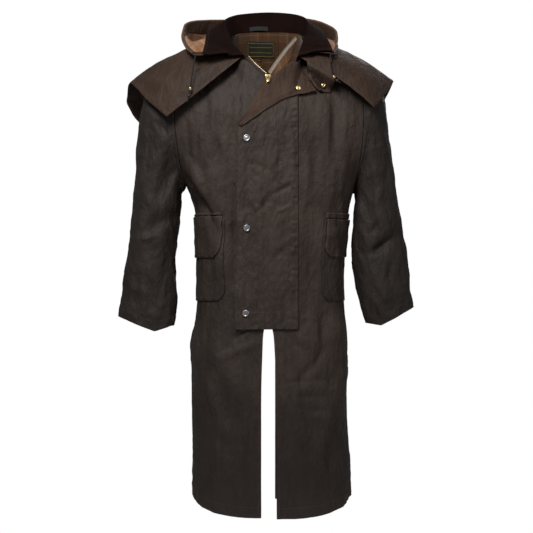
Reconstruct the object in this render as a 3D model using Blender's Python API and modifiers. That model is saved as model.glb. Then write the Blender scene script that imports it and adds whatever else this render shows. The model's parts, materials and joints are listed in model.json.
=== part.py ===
"""A long duster coat of waxed cotton, worn open below the hip, filled out with nobody in it.

The cloth is a wall that follows rings worked out from the coat's sizes. The front and back panels, sleeves, shoulder
cape, collar, folded hood, storm flap and pockets are separate pieces, a seam's gap apart.
Metres, +Z up, the front faces -Y, +X is the wearer's left. The origin lies between the shoulders that carry the coat.
"""

import math
from collections import namedtuple

import bmesh
import bpy
import numpy as np
from mathutils import Vector

# Thickness of the cloths, and the clearance between pieces
WALL = 0.0018
LINING_WALL = 0.0010
CORDUROY_WALL = 0.0024
PATCH_WALL = 0.0014
SEAM_GAP = 0.0006
LAYER_GAP = 0.0004

# Colours as red, green, blue, then roughness and metallic
WAXED = ((0.050, 0.037, 0.030), 0.62, 0.0)
CORDUROY = ((0.013, 0.006, 0.005), 0.9, 0.0)
PLAID = ((0.24, 0.10, 0.038), 0.9, 0.0)
LABEL = ((0.012, 0.012, 0.008), 0.8, 0.0)
TAPE = ((0.30, 0.26, 0.22), 0.7, 0.0)
BRASS = ((0.75, 0.55, 0.24), 0.3, 1.0)
STEEL = ((0.20, 0.20, 0.21), 0.35, 1.0)
CORD = ((0.010, 0.009, 0.009), 0.8, 0.0)

# Body rings. right and left are half widths, front and back are depths, all from the origin's upright line.
Ring = namedtuple("Ring", "height right left front back")
BODY_RINGS = (
    Ring(-1.140, 0.1875, 0.2065, 0.138, 0.135),
    Ring(-1.015, 0.1885, 0.2050, 0.137, 0.134),
    Ring(-0.955, 0.1885, 0.2005, 0.136, 0.132),
    Ring(-0.805, 0.1905, 0.1960, 0.134, 0.130),
    Ring(-0.685, 0.1860, 0.1975, 0.131, 0.128),
    Ring(-0.625, 0.1785, 0.1910, 0.129, 0.126),
    Ring(-0.505, 0.1765, 0.1875, 0.127, 0.122),
    Ring(-0.415, 0.1775, 0.1955, 0.127, 0.120),
    Ring(-0.355, 0.1840, 0.2035, 0.128, 0.120),
    Ring(-0.3155, 0.2040, 0.2150, 0.128, 0.120),
    Ring(-0.250, 0.2220, 0.2260, 0.127, 0.121),
    Ring(-0.150, 0.2400, 0.2400, 0.123, 0.122),
    Ring(-0.060, 0.2400, 0.2400, 0.114, 0.118),
    Ring(0.000, 0.2350, 0.2350, 0.104, 0.108),
    Ring(0.080, 0.2200, 0.2200, 0.088, 0.094),
)
RING_SQUARENESS = 0.10

# Where the fronts and the back vent end, as half widths of the gap between the two sides
Edge = namedtuple("Edge", "height right left vent")
OPEN_EDGES = (
    Edge(-1.140, 0.0168, 0.0215, 0.0190),
    Edge(-0.960, 0.0170, 0.0205, 0.0190),
    Edge(-0.800, 0.0165, 0.0185, 0.0190),
    Edge(-0.720, 0.0140, 0.0165, 0.0185),
    Edge(-0.680, 0.0120, 0.0135, 0.0165),
    Edge(-0.640, 0.0052, 0.0052, 0.0060),
    Edge(-0.600, 0.0045, 0.0045, SEAM_GAP / 2),
    Edge(-0.050, 0.0045, 0.0045, SEAM_GAP / 2),
    Edge(0.080, 0.0045, 0.0045, SEAM_GAP / 2),
)
HEM_CENTRE = {"right": -1.1213, "left": -1.1240}
HEM_SIDE_RISE = 0.046
HEM_BACK_CENTRE = -1.118
V_BOTTOM = -0.0600

# Armholes. The front of the hole bows out past the line from armpit to shoulder tip.
ARMPIT = {"right": (0.2040, -0.3155), "left": (0.2150, -0.3175)}
SHOULDER_TIP = (0.2250, -0.0200)
ARMHOLE_HALF_DEPTH = 0.085
ARMHOLE_BOW = 0.013

# Collar stations from the wearer's right front end, round the back, to the left front end
Station = namedtuple("Station", "seam fold edge")
COLLAR = (
    Station((-0.0550, -0.092, -0.0120), (-0.0590, -0.099, -0.0020), (-0.1560, -0.1130, -0.0235)),
    Station((-0.0720, -0.072, 0.0060), (-0.0840, -0.077, 0.0265), (-0.1550, -0.0900, 0.0160)),
    Station((-0.0850, -0.036, 0.0310), (-0.0990, -0.036, 0.0620), (-0.1530, -0.0350, 0.0560)),
    Station((-0.0910, 0.000, 0.0540), (-0.1080, 0.003, 0.0960), (-0.1500, 0.0200, 0.0800)),
    Station((-0.0820, 0.040, 0.0690), (-0.0880, 0.050, 0.1180), (-0.1240, 0.0920, 0.0880)),
    Station((-0.0480, 0.064, 0.0770), (-0.0540, 0.078, 0.1290), (-0.0700, 0.1240, 0.0900)),
    Station((0.0000, 0.072, 0.0790), (0.0000, 0.088, 0.1340), (0.0000, 0.1380, 0.0900)),
    Station((0.0480, 0.064, 0.0770), (0.0570, 0.078, 0.1290), (0.0700, 0.1240, 0.0900)),
    Station((0.0820, 0.040, 0.0690), (0.0920, 0.044, 0.1130), (0.1200, 0.0860, 0.0860)),
    Station((0.0910, 0.000, 0.0540), (0.0980, -0.004, 0.0850), (0.1380, 0.0200, 0.0780)),
    Station((0.0850, -0.036, 0.0310), (0.0920, -0.040, 0.0570), (0.1420, -0.0350, 0.0560)),
    Station((0.0760, -0.072, 0.0060), (0.0820, -0.078, 0.0250), (0.1520, -0.0820, 0.0260)),
    Station((0.0680, -0.092, -0.0120), (0.0740, -0.099, -0.0030), (0.1560, -0.1080, -0.0020)),
)
COLLAR_LAST = len(COLLAR) - 1
FOLD_SHARE = 0.32
FRONT_NECK_STATION = {"right": 0, "left": COLLAR_LAST}
SIDE_NECK_STATION = {"right": 3, "left": COLLAR_LAST - 3}
BACK_NECK_STATION = COLLAR_LAST // 2

# Share of a panel's width at which the neckline starts at the front, and meets the shoulder seam
NECK_START = 0.18
NECK_END = 0.36

# Cape spokes. at is the collar station over which the spoke starts; middle and hem are points on the cape.
Spoke = namedtuple("Spoke", "at middle hem")
CAPE = (
    Spoke(0.35, (-0.1530, -0.1190, -0.0800), (-0.2455, -0.1140, -0.1530)),
    Spoke(0.90, (-0.1800, -0.1080, -0.0500), (-0.2940, -0.0800, -0.1100)),
    Spoke(2.00, (-0.2100, -0.0550, 0.0020), (-0.3240, -0.0380, -0.0760)),
    Spoke(3.00, (-0.2260, 0.0000, 0.0190), (-0.3460, 0.0040, -0.0570)),
    Spoke(3.50, (-0.2200, 0.0500, 0.0110), (-0.3560, 0.0450, -0.0840)),
    Spoke(4.00, (-0.2050, 0.0950, -0.0080), (-0.3560, 0.0850, -0.1080)),
    Spoke(4.50, (-0.1750, 0.1230, -0.0250), (-0.3200, 0.1280, -0.1540)),
    Spoke(5.20, (-0.1050, 0.1420, -0.0500), (-0.1900, 0.1560, -0.2250)),
    Spoke(6.00, (0.0000, 0.1500, -0.0600), (0.0000, 0.1640, -0.2600)),
    Spoke(6.80, (0.1050, 0.1420, -0.0500), (0.1850, 0.1560, -0.2250)),
    Spoke(7.50, (0.1700, 0.1230, -0.0250), (0.2850, 0.1250, -0.1550)),
    Spoke(8.00, (0.1950, 0.0950, -0.0080), (0.2950, 0.0820, -0.1020)),
    Spoke(8.50, (0.2060, 0.0500, 0.0050), (0.3060, 0.0420, -0.0740)),
    Spoke(9.00, (0.2100, 0.0000, 0.0140), (0.3130, 0.0000, -0.0530)),
    Spoke(10.0, (0.2050, -0.0500, -0.0010), (0.2980, -0.0380, -0.0800)),
    Spoke(11.1, (0.1820, -0.0960, -0.0260), (0.2800, -0.0760, -0.1020)),
    Spoke(11.65, (0.1640, -0.1150, -0.0560), (0.2580, -0.1060, -0.1305)),
)

# Hood stations. at is the collar station under which the hood is held; the hood lies on the cape at low.
Fold = namedtuple("Fold", "at low rim")
HOOD = (
    Fold(0.95, (-0.1560, -0.1150, -0.0010), (-0.1796, -0.1150, -0.0018)),
    Fold(1.50, (-0.1660, -0.0800, 0.0230), (-0.2007, -0.0720, 0.0194)),
    Fold(2.10, (-0.1760, -0.0300, 0.0400), (-0.2140, -0.0240, 0.0510)),
    Fold(2.80, (-0.1860, 0.0200, 0.0400), (-0.2120, 0.0150, 0.0770)),
    Fold(3.50, (-0.1880, 0.0900, 0.0180), (-0.2000, 0.0550, 0.1040)),
    Fold(4.30, (-0.1420, 0.1640, -0.0400), (-0.1400, 0.1200, 0.1205)),
    Fold(5.10, (-0.0720, 0.1900, -0.1100), (-0.0750, 0.1620, 0.1270)),
    Fold(6.00, (0.0000, 0.1980, -0.1350), (0.0000, 0.1760, 0.1280)),
    Fold(6.90, (0.0720, 0.1900, -0.1100), (0.0700, 0.1620, 0.1320)),
    Fold(7.70, (0.1300, 0.1640, -0.0400), (0.1230, 0.1260, 0.1200)),
    Fold(8.50, (0.1600, 0.0900, 0.0200), (0.1660, 0.0660, 0.0902)),
    Fold(9.20, (0.1560, 0.0200, 0.0440), (0.1725, 0.0100, 0.0595)),
    Fold(9.90, (0.1520, -0.0300, 0.0420), (0.1720, -0.0280, 0.0325)),
    Fold(10.5, (0.1490, -0.0700, 0.0260), (0.1690, -0.0680, 0.0120)),
    Fold(11.0, (0.1420, -0.1080, 0.0040), (0.1600, -0.1080, 0.0020)),
)
HOOD_LINING_GAP = 0.0010
NECK_STEPS = (0.0024, 0.0070)
HOOD_RISE = 0.0065
HOOD_WIDTHS = 26
HOOD_DEPTHS = 11
HOOD_CLEARANCE = 0.0112
COLLAR_ROWS = np.array([0.0, 0.16, FOLD_SHARE, 0.44, 0.62, 0.80, 1.0])
COLLAR_FOLD_ROW = 3

# Sleeve rings after the armhole. outer and inner are points of the front view, depth is half the ring's depth, and
# ahead is how far the ring's middle lies in front of the armhole's.
Cuff = namedtuple("Cuff", "outer inner depth ahead")
SLEEVES = {
    "right": (
        Cuff((-0.2720, -0.0350), (-0.2075, -0.3200), 0.082, 0.000),
        Cuff((-0.3060, -0.0820), (-0.2100, -0.3250), 0.079, 0.001),
        Cuff((-0.3200, -0.1450), (-0.2120, -0.3300), 0.076, 0.002),
        Cuff((-0.3280, -0.2300), (-0.2135, -0.3380), 0.073, 0.004),
        Cuff((-0.3340, -0.3200), (-0.2150, -0.3620), 0.070, 0.006),
        Cuff((-0.3425, -0.4150), (-0.2210, -0.4180), 0.066, 0.012),
        Cuff((-0.3490, -0.4750), (-0.2275, -0.4750), 0.062, 0.018),
        Cuff((-0.3585, -0.5350), (-0.2292, -0.5350), 0.057, 0.026),
        Cuff((-0.3640, -0.5950), (-0.2240, -0.5980), 0.051, 0.034),
        Cuff((-0.3675, -0.6395), (-0.2305, -0.6605), 0.046, 0.040),
    ),
    "left": (
        Cuff((0.2620, -0.0320), (0.2160, -0.3220), 0.082, 0.000),
        Cuff((0.2860, -0.0820), (0.2165, -0.3265), 0.079, 0.001),
        Cuff((0.2960, -0.1500), (0.2168, -0.3320), 0.076, 0.002),
        Cuff((0.3080, -0.2400), (0.2160, -0.3420), 0.073, 0.004),
        Cuff((0.3220, -0.3300), (0.2140, -0.3700), 0.070, 0.006),
        Cuff((0.3340, -0.4150), (0.2105, -0.4280), 0.066, 0.010),
        Cuff((0.3435, -0.4750), (0.2080, -0.4820), 0.062, 0.014),
        Cuff((0.3500, -0.5300), (0.2125, -0.5400), 0.057, 0.020),
        Cuff((0.3530, -0.5800), (0.2240, -0.6000), 0.051, 0.026),
        Cuff((0.3600, -0.6160), (0.2415, -0.6550), 0.046, 0.030),
    ),
}
# The cuff's front edge hangs below its sides: how far, and where between the outer side, 0, and the inner side, 1
CUFF_DROP = {"right": 0.021, "left": 0.017}
CUFF_DROP_AT = {"right": 0.66, "left": 0.70}
SLEEVE_ROWS = 14

# The grids on which the panels are built. Columns are shares of a panel's width, levels run hem, armpit, shoulder.
ARMHOLE_STEPS = 8
SIDE_SEAM_ROWS = 24
PANEL_COLUMNS = np.array([0.0, 0.09, 0.18, 0.24, 0.30, 0.36, 0.5, 0.64, 0.76, 0.88, 1.0])
PANEL_LEVELS = np.concatenate([np.linspace(0, 1, SIDE_SEAM_ROWS)[:-1], 1 + np.linspace(0, 1, ARMHOLE_STEPS + 1)])
NECK_COLUMNS = 5

# The main folds of the cloth, from one point of the front view to another. depth is out of the cloth, so a trough is
# negative.
Crease = namedtuple("Crease", "start end width depth")
FRONT_CREASES = {
    "right": (
        Crease((-0.205, -0.265), (-0.112, -0.400), 0.022, 0.009),
        Crease((-0.190, -0.330), (-0.150, -0.390), 0.020, -0.006),
        Crease((-0.140, -0.120), (-0.120, -0.260), 0.018, -0.005),
        Crease((-0.100, -0.080), (-0.085, -0.250), 0.016, -0.004),
        Crease((-0.090, -0.330), (-0.088, -0.620), 0.012, -0.004),
        Crease((-0.130, -0.700), (-0.060, -0.860), 0.026, 0.006),
        Crease((-0.165, -0.840), (-0.150, -1.080), 0.020, -0.007),
        Crease((-0.070, -0.900), (-0.090, -1.110), 0.022, -0.005),
    ),
    "left": (
        Crease((0.165, -0.110), (0.162, -0.260), 0.013, -0.007),
        Crease((0.192, -0.130), (0.186, -0.270), 0.015, 0.005),
        Crease((0.118, -0.200), (0.120, -0.380), 0.018, -0.004),
        Crease((0.105, -0.420), (0.100, -0.640), 0.018, -0.004),
        Crease((0.150, -0.610), (0.130, -0.740), 0.018, -0.006),
        Crease((0.030, -0.760), (0.080, -0.950), 0.024, 0.006),
        Crease((0.165, -0.830), (0.150, -1.080), 0.024, -0.006),
        Crease((0.100, -0.950), (0.095, -1.110), 0.022, -0.005),
    ),
}
BACK_CREASES = {
    "right": (
        Crease((-0.185, -0.330), (-0.110, -0.470), 0.024, 0.007),
        Crease((-0.075, -0.480), (-0.080, -0.900), 0.024, -0.007),
        Crease((-0.140, -0.640), (-0.150, -1.080), 0.026, 0.007),
    ),
    "left": (
        Crease((0.190, -0.340), (0.100, -0.450), 0.024, 0.007),
        Crease((0.080, -0.520), (0.090, -0.950), 0.024, -0.007),
        Crease((0.140, -0.660), (0.160, -1.080), 0.026, 0.007),
    ),
}
SLEEVE_CREASES = {
    "right": (
        Crease((-0.235, -0.235), (-0.262, -0.345), 0.015, -0.009),
        Crease((-0.230, -0.390), (-0.300, -0.430), 0.016, -0.006),
        Crease((-0.300, -0.300), (-0.315, -0.500), 0.020, 0.004),
        Crease((-0.240, -0.520), (-0.285, -0.620), 0.018, -0.005),
    ),
    "left": (
        Crease((0.245, -0.280), (0.250, -0.440), 0.014, -0.007),
        Crease((0.262, -0.480), (0.330, -0.430), 0.015, -0.007),
        Crease((0.285, -0.220), (0.300, -0.400), 0.018, -0.004),
        Crease((0.255, -0.520), (0.300, -0.600), 0.018, 0.004),
    ),
}

# Storm flap, with its turned-back top, and the throat tab beside it
Width = namedtuple("Width", "height right left")
STORM_FLAP = (
    Width(-0.6675, -0.0770, 0.0725),
    Width(-0.500, -0.0745, 0.0725),
    Width(-0.172, -0.0700, 0.0725),
    Width(-0.010, -0.0660, 0.0725),
)
TurnBack = namedtuple("TurnBack", "fold free")
TURN_BACK = (
    TurnBack((-0.0690, -0.1730), (-0.0640, -0.1790)),
    TurnBack((-0.0350, -0.1170), (-0.0140, -0.1440)),
    TurnBack((-0.0080, -0.0770), (0.0260, -0.1180)),
    TurnBack((0.0150, -0.0530), (0.0580, -0.1060)),
    TurnBack((0.0400, -0.0330), (0.0900, -0.0990)),
    TurnBack((0.0590, -0.0215), (0.1140, -0.0935)),
)
FLAP_FOLD_END = (0.0730, -0.0130)
THROAT_TAB = (
    Width(-0.0930, 0.1200, 0.1500),
    Width(-0.0880, 0.1140, 0.1520),
    Width(-0.0500, 0.0920, 0.1510),
    Width(-0.0320, 0.0870, 0.1500),
)
FLAP_LIFT = 0.0042
FLAP_FREE_LIFT = 0.0030
FLAP_TOP_LIFT = 0.0045

# Pockets go round the side seam. near and far are shares of the way round from the front edge, 1 at the side seam.
# lift is how far a piece's inner side stands off the panels.
Pocket = namedtuple("Pocket", "near far top bottom lift")
POCKETS = {"right": Pocket(0.36, 1.30, -0.402, -0.600, 0.0017), "left": Pocket(0.43, 1.28, -0.402, -0.600, 0.0014)}
POCKET_FLAPS = {"right": Pocket(0.38, 1.27, -0.394, -0.494, 0.0050), "left": Pocket(0.45, 1.25, -0.401, -0.492, 0.0045)}
POCKET_WELTS = {"right": Pocket(0.38, 1.27, -0.386, -0.3915, 0.0018), "left": Pocket(0.44, 1.26, -0.386, -0.3985, 0.0012)}

# The lining at the back of the neck, its label and size tab, and the hanging loop. Heights and half widths.
LINING_ROWS = 6
LINING_CLEARANCE = 0.0040
LABEL_PLACE = (-0.0560, 0.0155, 0.0190, 0.0580)
SIZE_TAB_PLACE = (-0.0270, -0.0180, 0.0090, 0.0165)
HANG_LOOP = (5.05, 6.00)
HANG_LOOP_ACROSS = (0.02, 0.085)

# The V's edges: the zip's tapes, and the plaid facing that shows on the left. Each runs up from the zip's slider.
FACING_LOW = ((0.0070, -0.1108, -0.0570), (0.0330, -0.1005, -0.0360), (0.0550, -0.0790, -0.0080), (0.0620, -0.0610, 0.0120))
FACING_HIGH = ((0.0075, -0.1115, -0.0510), (0.0300, -0.0960, -0.0160), (0.0520, -0.0760, 0.0160), (0.0730, -0.0480, 0.0440))
RIGHT_TAPE = ((-0.0080, -0.1124, -0.0553), (-0.0225, -0.1061, -0.0416), (-0.0395, -0.0986, -0.0254), (-0.0525, -0.0895, -0.0085))
LEFT_TAPE_WAY = np.array([-0.70, -0.18, 0.69])
LEFT_TAPE_WIDTH = 0.0095
RIGHT_TAPE_WAY = np.array([0.68, -0.10, 0.72])
RIGHT_TAPE_WIDTH = 0.0080
ZIP_END = -0.665
CHAIN_WALL = 0.0016
SLIDER_AT = (0.0000, -0.1150, -0.0580)
SLIDER_DEPTH = 0.0028
SLIDER_PROFILE = ((-0.0060, 0.0044), (-0.0045, 0.0052), (0.0040, 0.0080), (0.0060, 0.0074))
BRIDGE_RADIUS = 0.0040
BRIDGE_AT = 0.0005
PULL_WALL = 0.0012
PULL_LEAN = 36.0

# Snaps on the storm flap, and the brass ones on its turned-back top and on the throat tab
SNAP_RADIUS = 0.0088
SOCKET_RADIUS = 0.0064
SNAP_HEIGHT = 0.0030
CAP = ((0.0, 0.62), (0.45, 0.66), (0.62, 1.0), (0.86, 0.86), (1.0, 0.30), (1.0, 0.0), (0.0, 0.0))
SOCKET = ((0.0, 0.4), (0.5, 0.4), (0.6, 0.8), (1.0, 0.6), (1.0, 0.0), (0.0, 0.0))
FLAP_SNAPS = ((-0.0515, -0.2065), (-0.0515, -0.4235), (-0.0540, -0.6285))
TURN_BACK_SNAP = (0.0735, -0.0845)
TAB_SNAP = (0.1320, -0.0775)

# Hood cords, from the eyelets in the hood's front corners to their free ends
CORD_DIAMETER = 0.0032
CORD_ROUTES = {
    "right": ((-0.1745, -0.1185, -0.0075), (-0.1785, -0.1285, -0.0240), (-0.1840, -0.1290, -0.0600),
              (-0.1880, -0.1290, -0.0900), (-0.1945, -0.1300, -0.1190)),
    "left": ((0.1500, -0.1180, -0.0060), (0.1500, -0.1270, -0.0200), (0.1530, -0.1300, -0.0420),
             (0.1605, -0.1310, -0.0620), (0.1735, -0.1320, -0.0735)),
}
CORD_STEPS = 14
CORD_LIFT = 0.0050
CORD_CLEARANCE = 0.0013
FERRULE_AT = {"right": 0.74, "left": 0.72}
TOGGLE_AT = {"right": 0.87, "left": 0.88}
# Bored solids of revolution: radius and height of a closed outline, from the bore's top round the outer side
FERRULE = [(0.0023, 0.0028), (0.0032, 0.0028), (0.0036, 0.0000), (0.0034, -0.0028), (0.0023, -0.0028)]
TOGGLE = [(0.0023, 0.0028), (0.0038, 0.0024), (0.0044, 0.0000), (0.0038, -0.0024), (0.0023, -0.0028)]

PANEL_GRIDS = {}


def curve_through(keys, values, at):
    """Points of a smooth curve through values, which stand at keys, read at the places in at."""
    keys = np.asarray(keys, float)
    values = np.asarray(values, float)
    at = np.clip(np.asarray(at, float), keys[0], keys[-1])
    slopes = np.gradient(values, keys, axis=0)
    i = np.clip(np.searchsorted(keys, at, side="right") - 1, 0, len(keys) - 2)
    step = keys[i + 1] - keys[i]
    t = (at - keys[i]) / step
    if values.ndim > 1:
        t = t[..., None]
        step = step[..., None]
    return (
        (2 * t**3 - 3 * t**2 + 1) * values[i]
        + (t**3 - 2 * t**2 + t) * step * slopes[i]
        + (3 * t**2 - 2 * t**3) * values[i + 1]
        + (t**3 - t**2) * step * slopes[i + 1]
    )


def column_at(rows, name, height):
    """One column of a table that has a height in each row, read at the given heights."""
    return curve_through([r.height for r in rows], [getattr(r, name) for r in rows], height)


def bow_through(first, middle, last, at):
    """Points of the curve through three points, at from 0 to 1, which passes each at its share of their distances."""
    there = np.linalg.norm(middle - first, axis=-1)
    m = (there / (there + np.linalg.norm(last - middle, axis=-1)))[..., None]
    t = at[..., None]
    ends = first * (t - m) * (t - 1) / m + last * t * (t - m) / (1 - m)
    return ends + middle * t * (1 - t) / (m * (1 - m))


def smoothstep(x):
    x = np.clip(x, 0.0, 1.0)
    return x * x * (3 - 2 * x)


def creases_at(creases, x, z):
    """How far the creases move the cloth out at points of the front view."""
    out = np.zeros(np.broadcast(x, z).shape)
    for c in creases:
        run = np.array([c.end[0] - c.start[0], c.end[1] - c.start[1]])
        along = ((x - c.start[0]) * run[0] + (z - c.start[1]) * run[1]) / (run @ run)
        near = np.clip(along, 0.0, 1.0)
        away = np.hypot(x - c.start[0] - near * run[0], z - c.start[1] - near * run[1])
        fade = 0.35 + 0.65 * np.sin(math.pi * near) ** 0.7
        out = out + c.depth * fade * np.exp(-((away / c.width) ** 2))
    return out


def side_sign(side):
    return -1.0 if side == "right" else 1.0


def collar_curve(part, at):
    """The collar's seam, fold or edge at the given stations."""
    stations = np.arange(len(COLLAR), dtype=float)
    return curve_through(stations, [getattr(s, part) for s in COLLAR], at)


def armhole(side, t):
    """Half width, half depth and height of the armhole, t from 0 at the armpit to pi at the shoulder tip."""
    pit_x, pit_z = ARMPIT[side]
    tip_x, tip_z = SHOULDER_TIP
    share = (1 - np.cos(t)) / 2
    x = pit_x + (tip_x - pit_x) * share + ARMHOLE_BOW * np.sin(t) ** 2
    return x, ARMHOLE_HALF_DEPTH * np.sin(t), pit_z + (tip_z - pit_z) * share


def panel_top(side, face, u):
    """The panel's top edge: the open front edge, the neckline, then the shoulder seam."""
    sign = side_sign(side)
    front_end, side_neck = FRONT_NECK_STATION[side], SIDE_NECK_STATION[side]
    neck_share = np.clip((u - NECK_START) / (NECK_END - NECK_START), 0.0, 1.0)
    if face == "front":
        neck = collar_curve("seam", front_end + (side_neck - front_end) * neck_share)
        opening = np.clip(1 - u / NECK_START, 0.0, 1.0)[..., None]
        v_point = np.array([sign * 0.0045, -0.1140, V_BOTTOM])
        neck = neck * (1 - opening) + v_point * opening
    else:
        share = np.clip(u / NECK_END, 0.0, 1.0)
        neck = collar_curve("seam", BACK_NECK_STATION + (side_neck - BACK_NECK_STATION) * share)
    tip = np.array([sign * SHOULDER_TIP[0], 0.0, SHOULDER_TIP[1]])
    shoulder = np.clip((u - NECK_END) / (1 - NECK_END), 0.0, 1.0)[..., None]
    return neck * (1 - shoulder) + tip * shoulder


def panel_heights(side, face, u):
    """Heights of a panel's hem, of the armpit, and of the panel's top edge, at the columns u."""
    centre = HEM_CENTRE[side] if face == "front" else HEM_BACK_CENTRE
    rise = np.sin(np.clip(u, 0.0, 1.0) * math.pi / 2) ** 3
    hem = centre + (HEM_CENTRE[side] + HEM_SIDE_RISE - centre) * rise
    return hem, ARMPIT[side][1], panel_top(side, face, u)[..., 2]


def panel_surface(side, face, u, v):
    """Outer points of a body panel. u goes from the front edge or back seam, 0, to the side seam and armhole, 1.
    v goes from the hem, 0, past the armpit's level, 1, to the shoulder seam and neckline, 2."""
    u, v = np.broadcast_arrays(np.asarray(u, float), np.asarray(v, float))
    sign = side_sign(side)
    toward = -1.0 if face == "front" else 1.0
    hem, pit_z, _ = panel_heights(side, face, u)
    turn = np.clip(v - 1, 0.0, 1.0) * math.pi
    share = (1 - np.cos(turn)) / 2
    top = panel_top(side, face, u)
    z = np.where(v <= 1, hem + (pit_z - hem) * v, pit_z + (top[..., 2] - pit_z) * share)
    arm_x, arm_y, _ = armhole(side, turn)
    width = column_at(BODY_RINGS, side, z)
    depth = column_at(BODY_RINGS, face, z)
    opened = column_at(OPEN_EDGES, side if face == "front" else "vent", z)
    first = np.arcsin(np.clip(opened / width, 0.0, 1.0))
    last = np.arccos(np.clip(arm_y / depth, 0.0, 0.98))
    angle = first + (last - first) * u
    swell = 1 + RING_SQUARENESS * np.sin(2 * angle) ** 2
    x = width * np.sin(angle) * swell
    y = depth * np.cos(angle) * swell
    end_swell = 1 + RING_SQUARENESS * np.sin(2 * last) ** 2
    above = np.where(v > 1, 1.0, 0.0)
    reach = u**2 * above
    x = x + (arm_x - width * np.sin(last) * end_swell) * reach
    y = y + (arm_y - depth * np.cos(last) * end_swell) * reach
    creases = (FRONT_CREASES if face == "front" else BACK_CREASES)[side]
    quiet = smoothstep((1 - u) / 0.12) * smoothstep(u / 0.05) * smoothstep((2 - v) / 0.25)
    push = creases_at(creases, sign * x, z) * quiet
    x = x + push * np.sin(angle)
    y = y + push * np.cos(angle)
    settle = np.clip((share - 0.45) / 0.55, 0.0, 1.0) ** 2
    at_top_x, at_top_y = panel_end(side, face, u, top[..., 2])
    top_x, top_y = sign * top[..., 0], toward * top[..., 1]
    outer = smoothstep((u - 0.5) / 0.4)
    x = (x + (top_x - at_top_x) * settle) * outer + (x * (1 - settle) + top_x * settle) * (1 - outer)
    y = (y + (top_y - at_top_y) * settle) * outer + (y * (1 - settle) + top_y * settle) * (1 - outer)
    seam = SEAM_GAP / 2
    at_seam = smoothstep((u - 0.9) / 0.1) * (1 - above) + above * smoothstep((v - 1.9) / 0.1)
    y = np.maximum(y, seam * at_seam)
    x = np.maximum(x, seam)
    return np.stack([sign * x, toward * y, z], axis=-1)


def panel_end(side, face, u, height):
    """Where a panel's ring would lie at its top edge, before it is drawn in to the neck and shoulder."""
    width = column_at(BODY_RINGS, side, height)
    depth = column_at(BODY_RINGS, face, height)
    opened = column_at(OPEN_EDGES, side if face == "front" else "vent", height)
    first = np.arcsin(opened / width)
    last = np.arccos(0.0)
    angle = first + (last - first) * u
    swell = 1 + RING_SQUARENESS * np.sin(2 * angle) ** 2
    end_x = SHOULDER_TIP[0] - width
    return width * np.sin(angle) * swell + end_x * u**2, depth * np.cos(angle) * swell


def level_on(side, face, u, z):
    """The v at which a panel's column u has the height z."""
    hem, pit_z, top_z = panel_heights(side, face, u)
    share = np.clip((z - pit_z) / (top_z - pit_z), 0.0, 1.0)
    return np.where(z <= pit_z, (z - hem) / (pit_z - hem), 1 + np.arccos(1 - 2 * share) / math.pi)


def panel_facet(side, face, u, v):
    """A point on the flat cells of a panel as it is built, so that a piece laid on them clears them."""
    if (side, face) not in PANEL_GRIDS:
        PANEL_GRIDS[side, face] = panel_surface(side, face, PANEL_COLUMNS[None, :], PANEL_LEVELS[:, None])
    points = PANEL_GRIDS[side, face]
    c = np.clip(np.searchsorted(PANEL_COLUMNS, u, side="right") - 1, 0, len(PANEL_COLUMNS) - 2)
    r = np.clip(np.searchsorted(PANEL_LEVELS, v, side="right") - 1, 0, len(PANEL_LEVELS) - 2)
    s = ((u - PANEL_COLUMNS[c]) / (PANEL_COLUMNS[c + 1] - PANEL_COLUMNS[c]))[..., None]
    t = ((v - PANEL_LEVELS[r]) / (PANEL_LEVELS[r + 1] - PANEL_LEVELS[r]))[..., None]
    low = points[r, c] * (1 - s) + points[r, c + 1] * s
    high = points[r + 1, c] * (1 - s) + points[r + 1, c + 1] * s
    return low * (1 - t) + high * t


def round_body(side, around, z):
    """A point of the body's outer surface, around from 0 at the front edge to 1 at the side seam and on to the back."""
    around, z = np.broadcast_arrays(np.asarray(around, float), np.asarray(z, float))
    front_u, back_u = np.clip(around, 0.0, 1.0), np.clip(2 - around, 0.0, 1.0)
    front = panel_facet(side, "front", front_u, level_on(side, "front", front_u, z))
    back = panel_facet(side, "back", back_u, level_on(side, "back", back_u, z))
    return np.where((around <= 1)[..., None], front, back)


def panel_at(face, x, z):
    """A point of the fronts' or backs' outer side at places of the front view. It goes on straight up past the neck."""
    x, z = np.broadcast_arrays(np.asarray(x, float), np.asarray(z, float))
    out = np.zeros(x.shape + (3,))
    for side in ("right", "left"):
        sign = side_sign(side)
        low, high = np.full(x.shape, -0.1), np.full(x.shape, 0.98)
        for _ in range(26):
            u = (low + high) / 2
            level = np.minimum(level_on(side, face, u, z), 1.97)
            found = panel_facet(side, face, u, level)
            inside = sign * found[..., 0] < sign * x
            low, high = np.where(inside, u, low), np.where(inside, high, u)
        out = np.where((x * sign >= 0)[..., None], found, out)
    out[..., 2] = z
    return out


def normals_of(points, closed=False):
    """Unit normals of a grid of points, on the side from which its rows run up to the left of its columns."""
    if closed:
        round_trip = np.concatenate([points[:, -2:-1], points, points[:, 1:2]], axis=1)
        across = np.gradient(round_trip, axis=1)[:, 1:-1]
    else:
        across = np.gradient(points, axis=1)
    normal = np.cross(across, np.gradient(points, axis=0))
    return normal / (np.linalg.norm(normal, axis=-1, keepdims=True) + 1e-12)


def moved_out(points, distance):
    """A grid of points moved along its own normals."""
    return points + normals_of(points) * distance


def densified(points, times):
    """The grid's flat cells, sampled times as finely."""
    rows, columns = points.shape[:2]
    r = np.linspace(0, rows - 1, (rows - 1) * times + 1)
    c = np.linspace(0, columns - 1, (columns - 1) * times + 1)
    i, j = np.minimum(r.astype(int), rows - 2), np.minimum(c.astype(int), columns - 2)
    a, b = (r - i)[:, None, None], (c - j)[None, :, None]
    low = points[i][:, j] * (1 - b) + points[i][:, j + 1] * b
    high = points[i + 1][:, j] * (1 - b) + points[i + 1][:, j + 1] * b
    return low * (1 - a) + high * a


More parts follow.
